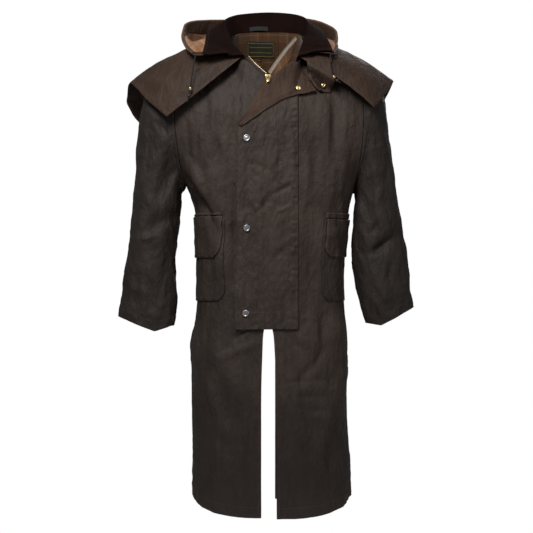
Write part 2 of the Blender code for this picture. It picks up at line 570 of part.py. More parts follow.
def eased(points, times):
    """A grid with its inner points drawn to the middle of their neighbours."""
    points = points.copy()
    for _ in range(times):
        middle = points[:-2, 1:-1] + points[2:, 1:-1] + points[1:-1, :-2] + points[1:-1, 2:]
        points[1:-1, 1:-1] = points[1:-1, 1:-1] * 0.5 + middle * 0.125
    return points


def lie_on(points, base, clearance, reach=0.015):
    """Points moved off a base grid, on the side its normals show, wherever they lie nearer to it than clearance.
    Points beside the grid by more than reach stay."""
    over, normal = base.reshape(-1, 3), normals_of(base).reshape(-1, 3)
    moved = points.reshape(-1, 3).copy()
    for _ in range(5):
        for first in range(0, len(moved), 1500):
            some = moved[first:first + 1500]
            nearest = np.argmin(((some[:, None] - over[None]) ** 2).sum(axis=-1), axis=1)
            away = some - over[nearest]
            height = (away * normal[nearest]).sum(axis=-1)
            beside = np.linalg.norm(away - height[:, None] * normal[nearest], axis=-1)
            lift = np.where((height < clearance) & (beside < reach), clearance - height, 0.0)
            moved[first:first + 1500] = some + normal[nearest] * lift[:, None]
    return moved.reshape(points.shape)


def layer_on(face, x, z, distance):
    """Points a distance out from the fronts, or in from the backs, and the normals there."""
    x, z = np.broadcast_arrays(np.asarray(x, float), np.asarray(z, float))
    step = 0.004
    across = panel_at(face, x + step, z) - panel_at(face, x - step, z)
    up = panel_at(face, x, z + step) - panel_at(face, x, z - step)
    normal = np.cross(across, up)
    normal /= np.linalg.norm(normal, axis=-1, keepdims=True)
    return panel_at(face, x, z) + normal * np.broadcast_to(distance, x.shape)[..., None], normal


def sleeve_surface(side, angle, along):
    """Outer points of a sleeve. angle is 0 at the inner side, pi at the outer, and the front comes first."""
    sign = side_sign(side)
    rows = SLEEVES[side]
    angle, along = np.broadcast_arrays(np.asarray(angle, float), np.asarray(along, float))
    turn = np.where(angle <= math.pi, angle, 2 * math.pi - angle)
    toward = np.where(angle <= math.pi, -1.0, 1.0)
    arm_x, _, arm_z = armhole(side, turn)
    first = np.stack([sign * (arm_x + SEAM_GAP), np.zeros(turn.shape), arm_z], axis=-1)
    keys = np.arange(len(rows), dtype=float)
    place = np.clip(along * len(rows) - 1, 0.0, len(rows) - 1.0)
    outer = curve_through(keys, [(r.outer[0], 0.0, r.outer[1]) for r in rows], place)
    inner = curve_through(keys, [(r.inner[0], 0.0, r.inner[1]) for r in rows], place)
    depth = curve_through(keys, [r.depth for r in rows], place)
    ahead = curve_through(keys, [r.ahead for r in rows], place)
    share = ((1 - np.cos(turn)) / 2)[..., None]
    ring = inner * (1 - share) + outer * share
    start = np.clip(along * len(rows), 0.0, 1.0)
    ring = first * (1 - start)[..., None] + ring * start[..., None]
    ring[..., 0] += sign * ARMHOLE_BOW * np.sin(turn) ** 2 * start * np.clip(1 - along / 0.35, 0.0, 1.0)
    half = ARMHOLE_HALF_DEPTH * (1 - start) + depth * start
    ring[..., 1] = toward * half * np.sin(turn) - ahead * start
    low = 1 - CUFF_DROP_AT[side]
    across = (1 - np.cos(turn)) / 2
    peak = np.where(across < low, across / low, (1 - across) / (1 - low))
    drop = CUFF_DROP[side] * np.clip(peak, 0, 1) * smoothstep((along - 0.72) / 0.28)
    ring[..., 2] -= np.where(toward < 0, drop, 0.15 * drop)
    push = creases_at(SLEEVE_CREASES[side], ring[..., 0], ring[..., 2])
    push = push * smoothstep(along / 0.12) * np.sin(turn) * np.where(toward < 0, 1.0, -0.5)
    ring[..., 1] += toward * push
    return ring


def neck_ring(at, layer):
    """Where the cape, layer 0, and the hood, layer 1, start: just outside the collar's stand."""
    seam = collar_curve("seam", at)
    ahead, behind = collar_curve("seam", np.asarray(at) + 0.05), collar_curve("seam", np.asarray(at) - 0.05)
    along = ahead - behind
    out = np.stack([-along[..., 1], along[..., 0], np.zeros(along.shape[:-1])], axis=-1)
    out /= np.linalg.norm(out, axis=-1, keepdims=True)
    clear = CORDUROY_WALL + NECK_STEPS[layer]
    return seam + out * clear + np.array([0.0, 0.0, 0.0016 + HOOD_RISE * layer])


def cape_surface(around, down):
    """Outer points of the cape, around from the right front edge, 0, to the left, 1, and down from neck to hem."""
    keys = np.linspace(0, 1, len(CAPE))
    around, down = np.broadcast_arrays(np.asarray(around, float), np.asarray(down, float))
    neck = neck_ring(curve_through(keys, [s.at for s in CAPE], around), 0)
    middle = curve_through(keys, [s.middle for s in CAPE], around)
    hem = curve_through(keys, [s.hem for s in CAPE], around)
    return bow_through(neck, middle, hem, down)


def hood_surface(around, across):
    """Outer points of the folded hood: from the neck, down over the cape, and up the far side to the rim."""
    keys = np.linspace(0, 1, len(HOOD))
    around, across = np.broadcast_arrays(np.asarray(around, float), np.asarray(across, float))
    neck = neck_ring(curve_through(keys, [s.at for s in HOOD], around), 1)
    low = curve_through(keys, [s.low for s in HOOD], around)
    rim = curve_through(keys, [s.rim for s in HOOD], around)
    return bow_through(neck, low, rim, across)


def collar_surface(at, across):
    """The collar's face: up the stand from the seam, over the fold, and down the fall to its edge."""
    at, across = np.broadcast_arrays(np.asarray(at, float), np.asarray(across, float))
    seam, fold, edge = (collar_curve(part, at) for part in ("seam", "fold", "edge"))
    up = np.clip(across / FOLD_SHARE, 0.0, 1.0)[..., None]
    down = np.clip((across - FOLD_SHARE) / (1 - FOLD_SHARE), 0.0, 1.0)[..., None]
    start = seam + np.array([0.0, 0.0, SEAM_GAP + 0.0004])
    stand = start + (fold - start) * up
    fall = edge - fold
    lift = np.array([0.0, 0.0, 1.0]) * 0.16 * np.linalg.norm(fall, axis=-1, keepdims=True)
    return stand + fall * down + lift * down * (1 - down) ** 2 * 2.2


def clear_scene():
    for obj in list(bpy.data.objects):
        bpy.data.objects.remove(obj)


def collection_named(name):
    found = bpy.data.collections.new(name)
    bpy.context.scene.collection.children.link(found)
    return found


def material(name, look):
    colour, roughness, metallic = look
    made = bpy.data.materials.get(name) or bpy.data.materials.new(name)
    made.use_nodes = True
    shader = made.node_tree.nodes["Principled BSDF"]
    shader.inputs["Base Color"].default_value = (*colour, 1.0)
    shader.inputs["Roughness"].default_value = roughness
    shader.inputs["Metallic"].default_value = metallic
    return made


def add_object(name, data, look, collection):
    obj = bpy.data.objects.new(name, data)
    obj.data.materials.append(material(*look))
    collection.objects.link(obj)
    return obj


def cloth(name, points, wall, look, collection, flip=False, closed=False, square=()):
    """A wall of cloth behind a grid of outer points. closed joins its first and last columns.
    square lists borders as (rows, columns, axis), at which the wall ends square to that axis, as a seam does."""
    out = normals_of(points, closed) * (-1.0 if flip else 1.0)
    for rows, columns, axis in square:
        true = out[rows, columns].copy()
        held = true.copy()
        held[..., axis] = 0.0
        held /= np.maximum(np.sum(true * held, axis=-1, keepdims=True), 0.4)
        out[rows, columns] = held
    inner = points - out * wall
    row_count, column_count = points.shape[:2]
    used = column_count - 1 if closed else column_count
    build = bmesh.new()
    outside = [[build.verts.new(points[r, c]) for c in range(used)] for r in range(row_count)]
    inside = [[build.verts.new(inner[r, c]) for c in range(used)] for r in range(row_count)]
    for r in range(row_count - 1):
        for c in range(column_count - 1):
            d = (c + 1) % used
            build.faces.new((outside[r][c], outside[r][d], outside[r + 1][d], outside[r + 1][c]))
            build.faces.new((inside[r][c], inside[r + 1][c], inside[r + 1][d], inside[r][d]))
    for c in range(column_count - 1):
        d = (c + 1) % used
        build.faces.new((outside[0][d], outside[0][c], inside[0][c], inside[0][d]))
        build.faces.new((outside[-1][c], outside[-1][d], inside[-1][d], inside[-1][c]))
    if not closed:
        for r in range(row_count - 1):
            build.faces.new((outside[r][0], outside[r + 1][0], inside[r + 1][0], inside[r][0]))
            build.faces.new((outside[r + 1][-1], outside[r][-1], inside[r][-1], inside[r + 1][-1]))
    if flip:
        bmesh.ops.reverse_faces(build, faces=build.faces)
    mesh = bpy.data.meshes.new(name)
    build.to_mesh(mesh)
    build.free()
    mesh.shade_smooth()
    return add_object(name, mesh, look, collection)


def turned(name, profile, look, collection, steps=12, bored=False):
    """A solid of revolution about its own +Z, from its outline's radii and heights. bored closes the outline."""
    mesh = bpy.data.meshes.new(name)
    edges = [(i, (i + 1) % len(profile)) for i in range(len(profile) if bored else len(profile) - 1)]
    mesh.from_pydata([(r, 0.0, z) for r, z in profile], edges, [])
    obj = add_object(name, mesh, look, collection)
    screw = obj.modifiers.new("turn", "SCREW")
    screw.steps = screw.render_steps = steps
    screw.use_merge_vertices = True
    screw.merge_threshold = 1e-5
    screw.use_smooth_shade = True
    return obj


def seat(obj, point, normal):
    """Stands an object on a point, its +Z along the normal."""
    obj.location = Vector(point)
    obj.rotation_euler = Vector(normal).to_track_quat("Z", "Y").to_euler()


def grid(first, last, count):
    return np.linspace(first, last, count)


def body_panels(collection):
    """Two fronts and two backs, each from the hem to the shoulder."""
    look = ("waxed_cotton", WAXED)
    for side in ("right", "left"):
        for face in ("front", "back"):
            points = panel_surface(side, face, PANEL_COLUMNS[None, :], PANEL_LEVELS[:, None])
            faces_out = (side == "left") == (face == "front")
            seams = [(slice(0, SIDE_SEAM_ROWS + 1), -1, 1), (-1, slice(NECK_COLUMNS, None), 1)]
            if face == "back":
                seams.append((slice(None), 0, 0))
            cloth(f"{face}_{side}", points, WALL, look, collection, not faces_out, square=seams)


def sleeves(collection):
    angles = grid(0, 2 * math.pi, 2 * ARMHOLE_STEPS + 1)
    along = grid(0, 1, SLEEVE_ROWS)
    for side in ("right", "left"):
        points = sleeve_surface(side, angles[None, :], along[:, None])
        points[:, -1] = points[:, 0]
        seam = [(0, slice(None), 0)]
        cloth(f"sleeve_{side}", points, WALL, ("waxed_cotton", WAXED), collection, side == "left", True, seam)


def cape_grid():
    return cape_surface(grid(0, 1, 37)[None, :], grid(0, 1, 8)[:, None])


def hood_grid():
    """The hood's inner side: its shell and lining lie behind it, and under them the cape."""
    points = hood_surface(grid(0, 1, HOOD_WIDTHS + 1)[None, :], grid(0, 1, HOOD_DEPTHS + 1)[:, None])
    under = densified(cape_grid(), 4)
    return lie_on(eased(lie_on(points, under, HOOD_CLEARANCE), 3), under, HOOD_CLEARANCE - 0.0004)


def cape(collection):
    cloth("cape", cape_grid(), WALL, ("waxed_cotton", WAXED), collection)


def hood(collection):
    """The hood's shell, and the lining inside it, which shows at both sides of the neck."""
    points = hood_grid()
    cloth("hood_lining", points[:, 1:-1], LINING_WALL, ("plaid_lining", PLAID), collection)
    shell = moved_out(points, -(LINING_WALL + HOOD_LINING_GAP))
    cloth("hood_shell", shell, WALL, ("waxed_cotton", WAXED), collection)


def collar_grid():
    """The collar's face, its fall lying on the hood and the cape."""
    points = collar_surface(grid(0, COLLAR_LAST, 25)[None, :], COLLAR_ROWS[:, None])
    fall = points[COLLAR_FOLD_ROW:]
    fall = lie_on(fall, densified(hood_grid(), 3), CORDUROY_WALL + 0.0028)
    fall = lie_on(fall, densified(cape_grid(), 4), CORDUROY_WALL + 0.0035)
    fall = lie_on(fall, densified(throat_tab_grid(), 3), CORDUROY_WALL + 0.0025, reach=0.006)
    points[COLLAR_FOLD_ROW:] = fall
    return points


def collar(collection):
    cloth("collar", collar_grid(), CORDUROY_WALL, ("corduroy", CORDUROY), collection)


def flap_lift(x, z):
    """How far the storm flap's outer side stands off the fronts. It stands off further at its free edge and its top."""
    free = FLAP_FREE_LIFT * np.clip((0.0725 - x) / 0.14, 0.0, 1.0)
    return FLAP_LIFT + free + FLAP_TOP_LIFT * smoothstep((z + 0.15) / 0.09) * smoothstep((x - 0.005) / 0.03)


def fold_height(x):
    """The height of the storm flap's fold line at x."""
    points = [row.fold for row in TURN_BACK] + [FLAP_FOLD_END]
    return curve_through([p[0] for p in points], [p[1] for p in points], x)


def storm_flap_grid():
    across, up = grid(0, 1, 8)[None, :], 1 - (1 - grid(0, 1, 18)[:, None]) ** 1.5
    top_x = STORM_FLAP[2].right + (STORM_FLAP[2].left - STORM_FLAP[2].right) * across
    hem = STORM_FLAP[0].height
    z = hem + (fold_height(top_x) - hem) * up
    right, left = column_at(STORM_FLAP, "right", z), column_at(STORM_FLAP, "left", z)
    x = right + (left - right) * across
    return layer_on("front", x, z, flap_lift(x, z))[0]


def turned_back_grid():
    """The storm flap's top corner, turned back over it."""
    up, across = grid(0, 1, 13)[:, None], grid(0, 1, 6)[None, :]
    keys = grid(0, 1, len(TURN_BACK))
    fold = curve_through(keys, [row.fold for row in TURN_BACK], up)
    free = curve_through(keys, [row.free for row in TURN_BACK], up)
    place = fold + (free - fold) * across[..., None]
    x, z = place[..., 0], place[..., 1]
    points, _ = layer_on("front", x, z, flap_lift(x, z) + WALL + 0.0020)
    points = lie_on(points, densified(storm_flap_grid(), 4), WALL + 0.0020)
    return lie_on(points, densified(cape_grid(), 4), WALL + 0.0020, reach=0.004)


def throat_tab_grid():
    across, z = grid(0, 1, 5)[None, :], grid(THROAT_TAB[0].height, THROAT_TAB[-1].height, 8)[:, None]
    right, left = column_at(THROAT_TAB, "right", z), column_at(THROAT_TAB, "left", z)
    points, _ = layer_on("front", right + (left - right) * across, z, FLAP_LIFT)
    for _ in range(3):
        points = lie_on(points, densified(turned_back_grid(), 3), WALL + 0.0022)
        points = eased(lie_on(points, densified(cape_grid(), 4), WALL + 0.0031), 2)
    return lie_on(points, densified(cape_grid(), 4), WALL + 0.0015)


def storm_flap(collection):
    look = ("waxed_cotton", WAXED)
    cloth("storm_flap", storm_flap_grid(), WALL, look, collection)
    cloth("storm_flap_revers", turned_back_grid(), WALL, ("waxed_cotton_inside", WAXED), collection)
    cloth("throat_tab", throat_tab_grid(), WALL, look, collection)


def on_body(name, side, piece, wall, look, collection, columns, rows):
    """A piece of cloth on the body, from piece.near to piece.far round the side."""
    around = grid(piece.near, piece.far, columns)[None, :]
    z = grid(piece.bottom, piece.top, rows)[:, None]
    points = round_body(side, around, z)
    points = moved_out(points, (piece.lift + wall) * side_sign(side))
    cloth(name, points, wall, look, collection, flip=side == "right")


def pockets(collection):
    look = ("waxed_cotton", WAXED)
    for side in ("right", "left"):
        on_body(f"pocket_{side}", side, POCKETS[side], PATCH_WALL, look, collection, 14, 6)
        on_body(f"pocket_welt_{side}", side, POCKET_WELTS[side], WALL, look, collection, 14, 2)
        on_body(f"pocket_flap_{side}", side, POCKET_FLAPS[side], WALL, look, collection, 14, 4)


def neck_lining(collection):
    """The lining inside the back of the neck, its bare label and size tab, and the loop to hang the coat by."""
    plaid, bare = ("plaid_lining", PLAID), ("label", LABEL)
    columns = PANEL_COLUMNS[:7]
    v = PANEL_LEVELS[-LINING_ROWS:, None].copy()
    v[-1] = 1.985
    right = panel_facet("right", "back", columns[::-1][None, :], v)
    left = panel_facet("left", "back", columns[1:][None, :], v)
    points = moved_out(np.concatenate([right, left], axis=1), WALL + LINING_CLEARANCE + LINING_WALL)
    cloth("neck_lining", points, LINING_WALL, plaid, collection)
    under = densified(points, 4)
    for name, place, columns, rows in (("label", LABEL_PLACE, 6, 5), ("size_tab", SIZE_TAB_PLACE, 2, 2)):
        right_x, left_x, low, high = place
        x, z = grid(right_x, left_x, columns)[None, :], grid(low, high, rows)[:, None]
        patch, _ = layer_on("back", x, z, WALL + 2 * LAYER_GAP + 2 * LINING_WALL)
        cloth(name, lie_on(patch, under, LINING_WALL + 0.0008), LINING_WALL, bare, collection)
    loop = collar_surface(grid(HANG_LOOP[0], HANG_LOOP[1], 9)[None, :], grid(*HANG_LOOP_ACROSS, 3)[:, None])
    bulge = np.sin(grid(0, math.pi, 9))[None, :, None]
    loop = loop + normals_of(loop) * (LINING_WALL + 0.0005 + 0.004 * bulge)
    cloth("hang_loop", loop, LINING_WALL, ("tape", TAPE), collection)


def ruled(low, high, columns, rows):
    """A strip between two curves, each through a few points."""
    keys, at = grid(0, 1, len(low)), grid(0, 1, columns)
    low, high = curve_through(keys, low, at), curve_through(keys, high, at)
    share = grid(0, 1, rows)[:, None, None]
    return low[None] * (1 - share) + high[None] * share


def zip_parts(collection):
    """The zip: its open tapes along the V, the plaid facing behind the left one, and the closed chain below."""
    facing = ruled(FACING_LOW, FACING_HIGH, 9, 4)
    cloth("facing_left", facing, LINING_WALL, ("plaid_lining", PLAID), collection)
    edge = np.array(FACING_HIGH)
    left = ruled(edge + LEFT_TAPE_WAY * 0.0012, edge + LEFT_TAPE_WAY * LEFT_TAPE_WIDTH, 9, 3)
    cloth("zip_tape_left", left, LINING_WALL, ("zip_tape", TAPE), collection)
    edge = np.array(RIGHT_TAPE)[::-1]
    right = ruled(edge, edge + RIGHT_TAPE_WAY * RIGHT_TAPE_WIDTH, 9, 3)
    cloth("zip_tape_right", right, LINING_WALL, ("zip_tape", TAPE), collection)
    z = grid(ZIP_END, V_BOTTOM - 0.008, 18)[:, None]
    edges = [panel_facet(side, "front", np.zeros_like(z), level_on(side, "front", 0.0, z)) for side in ("right", "left")]
    share = grid(0.12, 0.88, 2)[None, :, None]
    chain = edges[0] * (1 - share) + edges[1] * share
    cloth("zip_chain", chain, CHAIN_WALL, ("zip_metal", STEEL), collection)


def slider(collection):
    """The slider, its bridge, and the pull tab that hangs from the bridge and turns about X."""
    x, y, z = SLIDER_AT
    front = y - SLIDER_DEPTH
    mesh = bpy.data.meshes.new("zip_slider")
    build = bmesh.new()
    rings = []
    for height, half in SLIDER_PROFILE:
        corners = ((-half, y), (half, y), (half, front), (-half, front))
        rings.append([build.verts.new((x + cx, cy, z + height)) for cx, cy in corners])
    for low, high in zip(rings, rings[1:]):
        for i in range(4):
            build.faces.new((low[i], low[(i + 1) % 4], high[(i + 1) % 4], high[i]))
    build.faces.new(rings[0][::-1])
    build.faces.new(rings[-1])
    bmesh.ops.recalc_face_normals(build, faces=build.faces)
    build.to_mesh(mesh)
    build.free()
    add_object("zip_slider", mesh, ("brass", BRASS), collection)
    reach = front - 0.0003
    turn = grid(0, math.pi, 8)
    bridge = [(x, reach - BRIDGE_RADIUS * math.sin(a), z + BRIDGE_AT + BRIDGE_RADIUS * math.cos(a)) for a in turn]
    tube("zip_bridge", bridge, 0.0007, ("brass", BRASS), collection)
    hinge = Vector((x, reach - 0.0018, z + BRIDGE_AT))
    outline = [(-0.0040, 0.0010), (0.0040, 0.0010), (0.0048, -0.0060), (0.0034, -0.0155), (-0.0034, -0.0155), (-0.0048, -0.0060)]
    hole = [(-0.0018, -0.0010), (-0.0018, -0.0062), (0.0018, -0.0062), (0.0018, -0.0010)]
    curve = bpy.data.curves.new("zip_pull", "CURVE")
    curve.dimensions = "2D"
    curve.fill_mode = "BOTH"
    curve.extrude = PULL_WALL / 2
    for points in (outline, hole):
        spline = curve.splines.new("POLY")
        spline.points.add(len(points) - 1)
        for point, (px, py) in zip(spline.points, points):
            point.co = (px, py, 0.0, 1.0)
        spline.use_cyclic_u = True
    pull = add_object("zip_pull", curve, ("brass", BRASS), collection)
    pull.location = hinge
    pull.rotation_euler = (math.radians(90 - PULL_LEAN), 0.0, 0.0)


def tube(name, points, radius, look, collection, sides=2, smooth=False):
    """A round bar or cord along points."""
    curve = bpy.data.curves.new(name, "CURVE")
    curve.dimensions = "3D"
    curve.bevel_depth = radius
    curve.bevel_resolution = sides
    curve.use_fill_caps = True
    spline = curve.splines.new("POLY")
    spline.points.add(len(points) - 1)
    for point, place in zip(spline.points, points):
        point.co = (*place, 1.0)
    return add_object(name, curve, look, collection)


def snap(name, place, base, radius, profile, look, collection):
    """A snap's cap, seated square on the cloth grid under it at a place of the front view."""
    points, normals = base.reshape(-1, 3), normals_of(base).reshape(-1, 3)
    away = np.hypot(points[:, 0] - place[0], points[:, 2] - place[1])
    under = away < radius + 0.001
    centre, normal = points[np.argmin(away)], normals[under].mean(axis=0)
    normal /= np.linalg.norm(normal)
    rise = ((points[under] - centre) @ normal).max() + 0.0009
    cap = turned(name, [(r * radius, h * SNAP_HEIGHT) for r, h in profile], look, collection)
    seat(cap, centre + normal * rise, normal)


def snaps(collection):
    flap, back, tab = (densified(points, 8) for points in (storm_flap_grid(), turned_back_grid(), throat_tab_grid()))
    for index, place in enumerate(FLAP_SNAPS, start=1):
        snap(f"flap_snap_{index}", place, flap, SNAP_RADIUS, CAP, ("snap_metal", STEEL), collection)
    snap("revers_snap", TURN_BACK_SNAP, back, SOCKET_RADIUS, SOCKET, ("brass", BRASS), collection)
    snap("tab_snap", TAB_SNAP, tab, SOCKET_RADIUS * 0.86, SOCKET, ("brass", BRASS), collection)


def cords(collection):
    """Hood cords from the hood's front corners, with a ferrule and a toggle threaded on each."""
    base, hood = densified(cape_grid(), 5), densified(moved_out(hood_grid(), -(LINING_WALL + HOOD_LINING_GAP)), 5)
    for side in ("right", "left"):
        route = curve_through(grid(0, 1, len(CORD_ROUTES[side])), CORD_ROUTES[side], grid(0, 1, CORD_STEPS + 1))
        route = lie_on(route[:, None], base, CORD_LIFT)[:, 0]
        corner = hood[:, 0 if side == "right" else -1]
        nearest = corner[np.argmin(np.linalg.norm(corner - route[0], axis=1))]
        away = route[0] - nearest
        shift = nearest + away / np.linalg.norm(away) * CORD_CLEARANCE - route[0]
        route += shift * (1 - smoothstep(grid(0, 1, CORD_STEPS + 1) / 0.3))[:, None]
        tube(f"drawcord_{side}", route, CORD_DIAMETER / 2, ("cord", CORD), collection)
        for name, at, profile, look in (("ferrule", FERRULE_AT, FERRULE, ("brass", BRASS)),
                                        ("toggle", TOGGLE_AT, TOGGLE, ("toggle", CORD))):
            place = at[side] * CORD_STEPS
            i = int(place)
            point = route[i] + (route[i + 1] - route[i]) * (place - i)
            sleeve = turned(f"{name}_{side}", profile, look, collection, steps=10, bored=True)
            seat(sleeve, point, route[i - 1] - route[i + 2])


def build():
    clear_scene()
    coat = collection_named("duster_coat")
    body_panels(coat)
    sleeves(coat)
    cape(coat)
    hood(coat)
    collar(coat)
    storm_flap(coat)
    pockets(coat)
    neck_lining(coat)
    zip_parts(coat)
    slider(coat)
    snaps(coat)
    cords(coat)


build()
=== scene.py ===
"""Looks of a long duster coat of waxed cotton, filled out as when worn, with nobody in it.

Each class holds the sizes of one sub-assembly and makes its pieces: body panels, sleeves, cape, hood,
collar, storm flap, pockets, neck lining, zip, snaps and hood cords. The cloth pieces are thin walls over
grids of points, worked out from the coat's sizes, and what lies on a panel is made from the panel's own
points. Metres, +Z up, the front faces -Y.
"""

from __future__ import annotations

import json
import logging
import math
from collections.abc import Sequence
from dataclasses import dataclass
from enum import Enum
from functools import cache, cached_property
from typing import Any, NamedTuple

import bpy
import numpy as np
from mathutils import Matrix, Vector, kdtree

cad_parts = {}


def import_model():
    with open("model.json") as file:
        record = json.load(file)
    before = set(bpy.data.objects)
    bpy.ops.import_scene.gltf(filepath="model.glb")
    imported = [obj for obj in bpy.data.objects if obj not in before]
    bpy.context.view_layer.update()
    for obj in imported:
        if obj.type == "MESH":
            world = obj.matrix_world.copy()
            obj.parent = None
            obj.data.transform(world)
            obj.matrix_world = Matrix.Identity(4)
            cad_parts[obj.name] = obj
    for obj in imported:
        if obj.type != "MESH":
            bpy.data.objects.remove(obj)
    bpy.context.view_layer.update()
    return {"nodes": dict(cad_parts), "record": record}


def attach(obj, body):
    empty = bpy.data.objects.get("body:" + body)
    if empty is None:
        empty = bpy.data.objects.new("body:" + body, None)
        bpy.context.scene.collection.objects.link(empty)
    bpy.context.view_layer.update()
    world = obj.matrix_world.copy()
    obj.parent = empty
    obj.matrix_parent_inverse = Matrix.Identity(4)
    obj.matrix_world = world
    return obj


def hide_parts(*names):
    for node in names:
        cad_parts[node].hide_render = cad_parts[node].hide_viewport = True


LOG = logging.getLogger("duster_coat")
Grid = np.ndarray
Point = tuple[float, float, float]
Place = tuple[float, float]
Colour = tuple[float, float, float]

BODY = "coat"
PULL_BODY = "zip_pull"
WALL = 0.0018
LINING_WALL = 0.001
CORDUROY_WALL = 0.0024
PATCH_WALL = 0.0014
SEAM_GAP = 0.0006
PAINTED_SHADE_HEIGHTS = (-1.05, -0.62)


class Side(Enum):
    """The wearer's right or left."""

    RIGHT = "right"
    LEFT = "left"

    @property
    def sign(self) -> float:
        """The sign of this side's x."""
        return -1.0 if self is Side.RIGHT else 1.0

    @property
    def index(self) -> int:
        """This side's place in a pair of sizes, the right one first."""
        return int(self is Side.LEFT)


class Face(Enum):
    """The front or the back of the body."""

    FRONT = "front"
    BACK = "back"


class Border(Enum):
    """A border of a grid: its first and last row, and its first and last column."""

    LOW = "low"
    HIGH = "high"
    FIRST = "first"
    LAST = "last"


class Repeat(Enum):
    """What a row of repeats is made of."""

    THREAD = "thread"
    TOOTH = "tooth"


class Ring(NamedTuple):
    """A level ring of the body: half widths and depths from the upright line through the origin."""

    height: float
    right: float
    left: float
    front: float
    back: float


class Edge(NamedTuple):
    """Half widths of the gap between the fronts, and of the back vent, at a height."""

    height: float
    right: float
    left: float
    vent: float


class Station(NamedTuple):
    """Seam, fold and outer edge of the collar at one place round the neck."""

    seam: Point
    fold: Point
    edge: Point


class Spoke(NamedTuple):
    """A line down the cape. at is the collar station over which it starts."""

    at: float
    middle: Point
    hem: Point


class Fold(NamedTuple):
    """A line across the folded hood. at is the collar station under which the hood is held."""

    at: float
    low: Point
    rim: Point


class Cuff(NamedTuple):
    """A ring of a sleeve: outer and inner point in the front view, half its depth, how far ahead it lies."""

    outer: Place
    inner: Place
    depth: float
    ahead: float


class Crease(NamedTuple):
    """A fold of the cloth between two points of the front view. A trough has a negative depth."""

    start: Place
    end: Place
    width: float
    depth: float


class Width(NamedTuple):
    """A level line across a flap or tab, from x right to x left."""

    height: float
    right: float
    left: float


class TurnBack(NamedTuple):
    """A line across the turned-back corner, from its fold to its free edge."""

    fold: Place
    free: Place


class Patch(NamedTuple):
    """A piece round the body's side. near and far count from 0 at the front edge to 1 at the side seam."""

    near: float
    far: float
    top: float
    bottom: float
    lift: float


def in_mm(kind: Any, *rows: tuple[Any, ...]) -> tuple[Any, ...]:
    """Makes the rows of a table whose lengths are given in millimetres.

    Args:
        kind: The rows' type. Its field at, if it has one, is no length and stays as given.
        rows: The values of each row.

    Returns:
        The rows, in metres.
    """

    def metres(value: Any) -> Any:
        """A length or a place in metres."""
        return tuple(map(metres, value)) if isinstance(value, tuple) else round(value / 1000, 6)

    places = [name == "at" for name in kind._fields]
    return tuple(kind(*(v if place else metres(v) for place, v in zip(places, row))) for row in rows)


def span(first: float, last: float, count: int) -> Grid:
    """Evenly spaced values from first to last."""
    return np.linspace(first, last, count)


def smoothstep(x: Grid) -> Grid:
    """A smooth step from 0 to 1 while x goes from 0 to 1."""
    x = np.clip(x, 0.0, 1.0)
    return x * x * (3 - 2 * x)


def unit(vectors: Grid) -> Grid:
    """Vectors scaled to length 1."""
    return vectors / (np.linalg.norm(vectors, axis=-1, keepdims=True) + 1e-12)


def curve_through(keys: Sequence[float] | Grid, values: Any, at: Any) -> Grid:
    """Reads a smooth curve through values.

    Args:
        keys: Where the values stand, rising.
        values: A number or a point for each key.
        at: The places to read.

    Returns:
        The curve's numbers or points at those places.
    """
    keys = np.asarray(keys, float)
    values = np.asarray(values, float)
    at = np.clip(np.asarray(at, float), keys[0], keys[-1])
    slopes = np.gradient(values, keys, axis=0)
    i = np.clip(np.searchsorted(keys, at, side="right") - 1, 0, len(keys) - 2)
    step = keys[i + 1] - keys[i]
    t = (at - keys[i]) / step
    for _ in values.shape[1:]:
        t = t[..., None]
        step = step[..., None]
    return (
        (2 * t**3 - 3 * t**2 + 1) * values[i]
        + (t**3 - 2 * t**2 + t) * step * slopes[i]
        + (3 * t**2 - 2 * t**3) * values[i + 1]
        + (t**3 - t**2) * step * slopes[i + 1]
    )


def column_at(rows: Sequence[Any], name: str, height: Any) -> Grid:
    """One column of a table that has a height in each row, read at the given heights."""
    return curve_through([r.height for r in rows], [getattr(r, name) for r in rows], height)


def spread(rows: Sequence[Any], name: str, at: Any) -> Grid:
    """One column of a table whose rows are evenly spread from 0 to 1, read at the given shares."""
    return curve_through(span(0, 1, len(rows)), [getattr(row, name) for row in rows], at)


def bow_through(first: Grid, middle: Grid, last: Grid, at: Grid) -> Grid:
    """Points of the curve through three points, which passes each at its share of their distances.

    Args:
        first: The curves' starts.
        middle: The points that they pass.
        last: Their ends.
        at: Shares of the way.

    Returns:
        The points.
    """
    there = np.linalg.norm(middle - first, axis=-1)
    m = (there / (there + np.linalg.norm(last - middle, axis=-1)))[..., None]
    t = at[..., None]
    ends = first * (t - m) * (t - 1) / m + last * t * (t - m) / (1 - m)
    return ends + middle * t * (1 - t) / (m * (1 - m))


def creases_at(creases: Sequence[Crease], x: Grid, z: Grid) -> Grid:
    """How far the creases move the cloth out at points of the front view.

    Args:
        creases: The creases.
        x: Places across.
        z: Heights.

    Returns:
        The distances, in metres.
    """
    out = np.zeros(np.broadcast(x, z).shape)
    for (start_x, start_z), (end_x, end_z), width, depth in creases:
        run = np.array([end_x - start_x, end_z - start_z])
        near = np.clip(((x - start_x) * run[0] + (z - start_z) * run[1]) / (run @ run), 0.0, 1.0)
        away = np.hypot(x - start_x - near * run[0], z - start_z - near * run[1])
        fade = 0.35 + 0.65 * np.sin(math.pi * near) ** 0.7
        out = out + depth * fade * hump(away, 0.0, width)
    return out


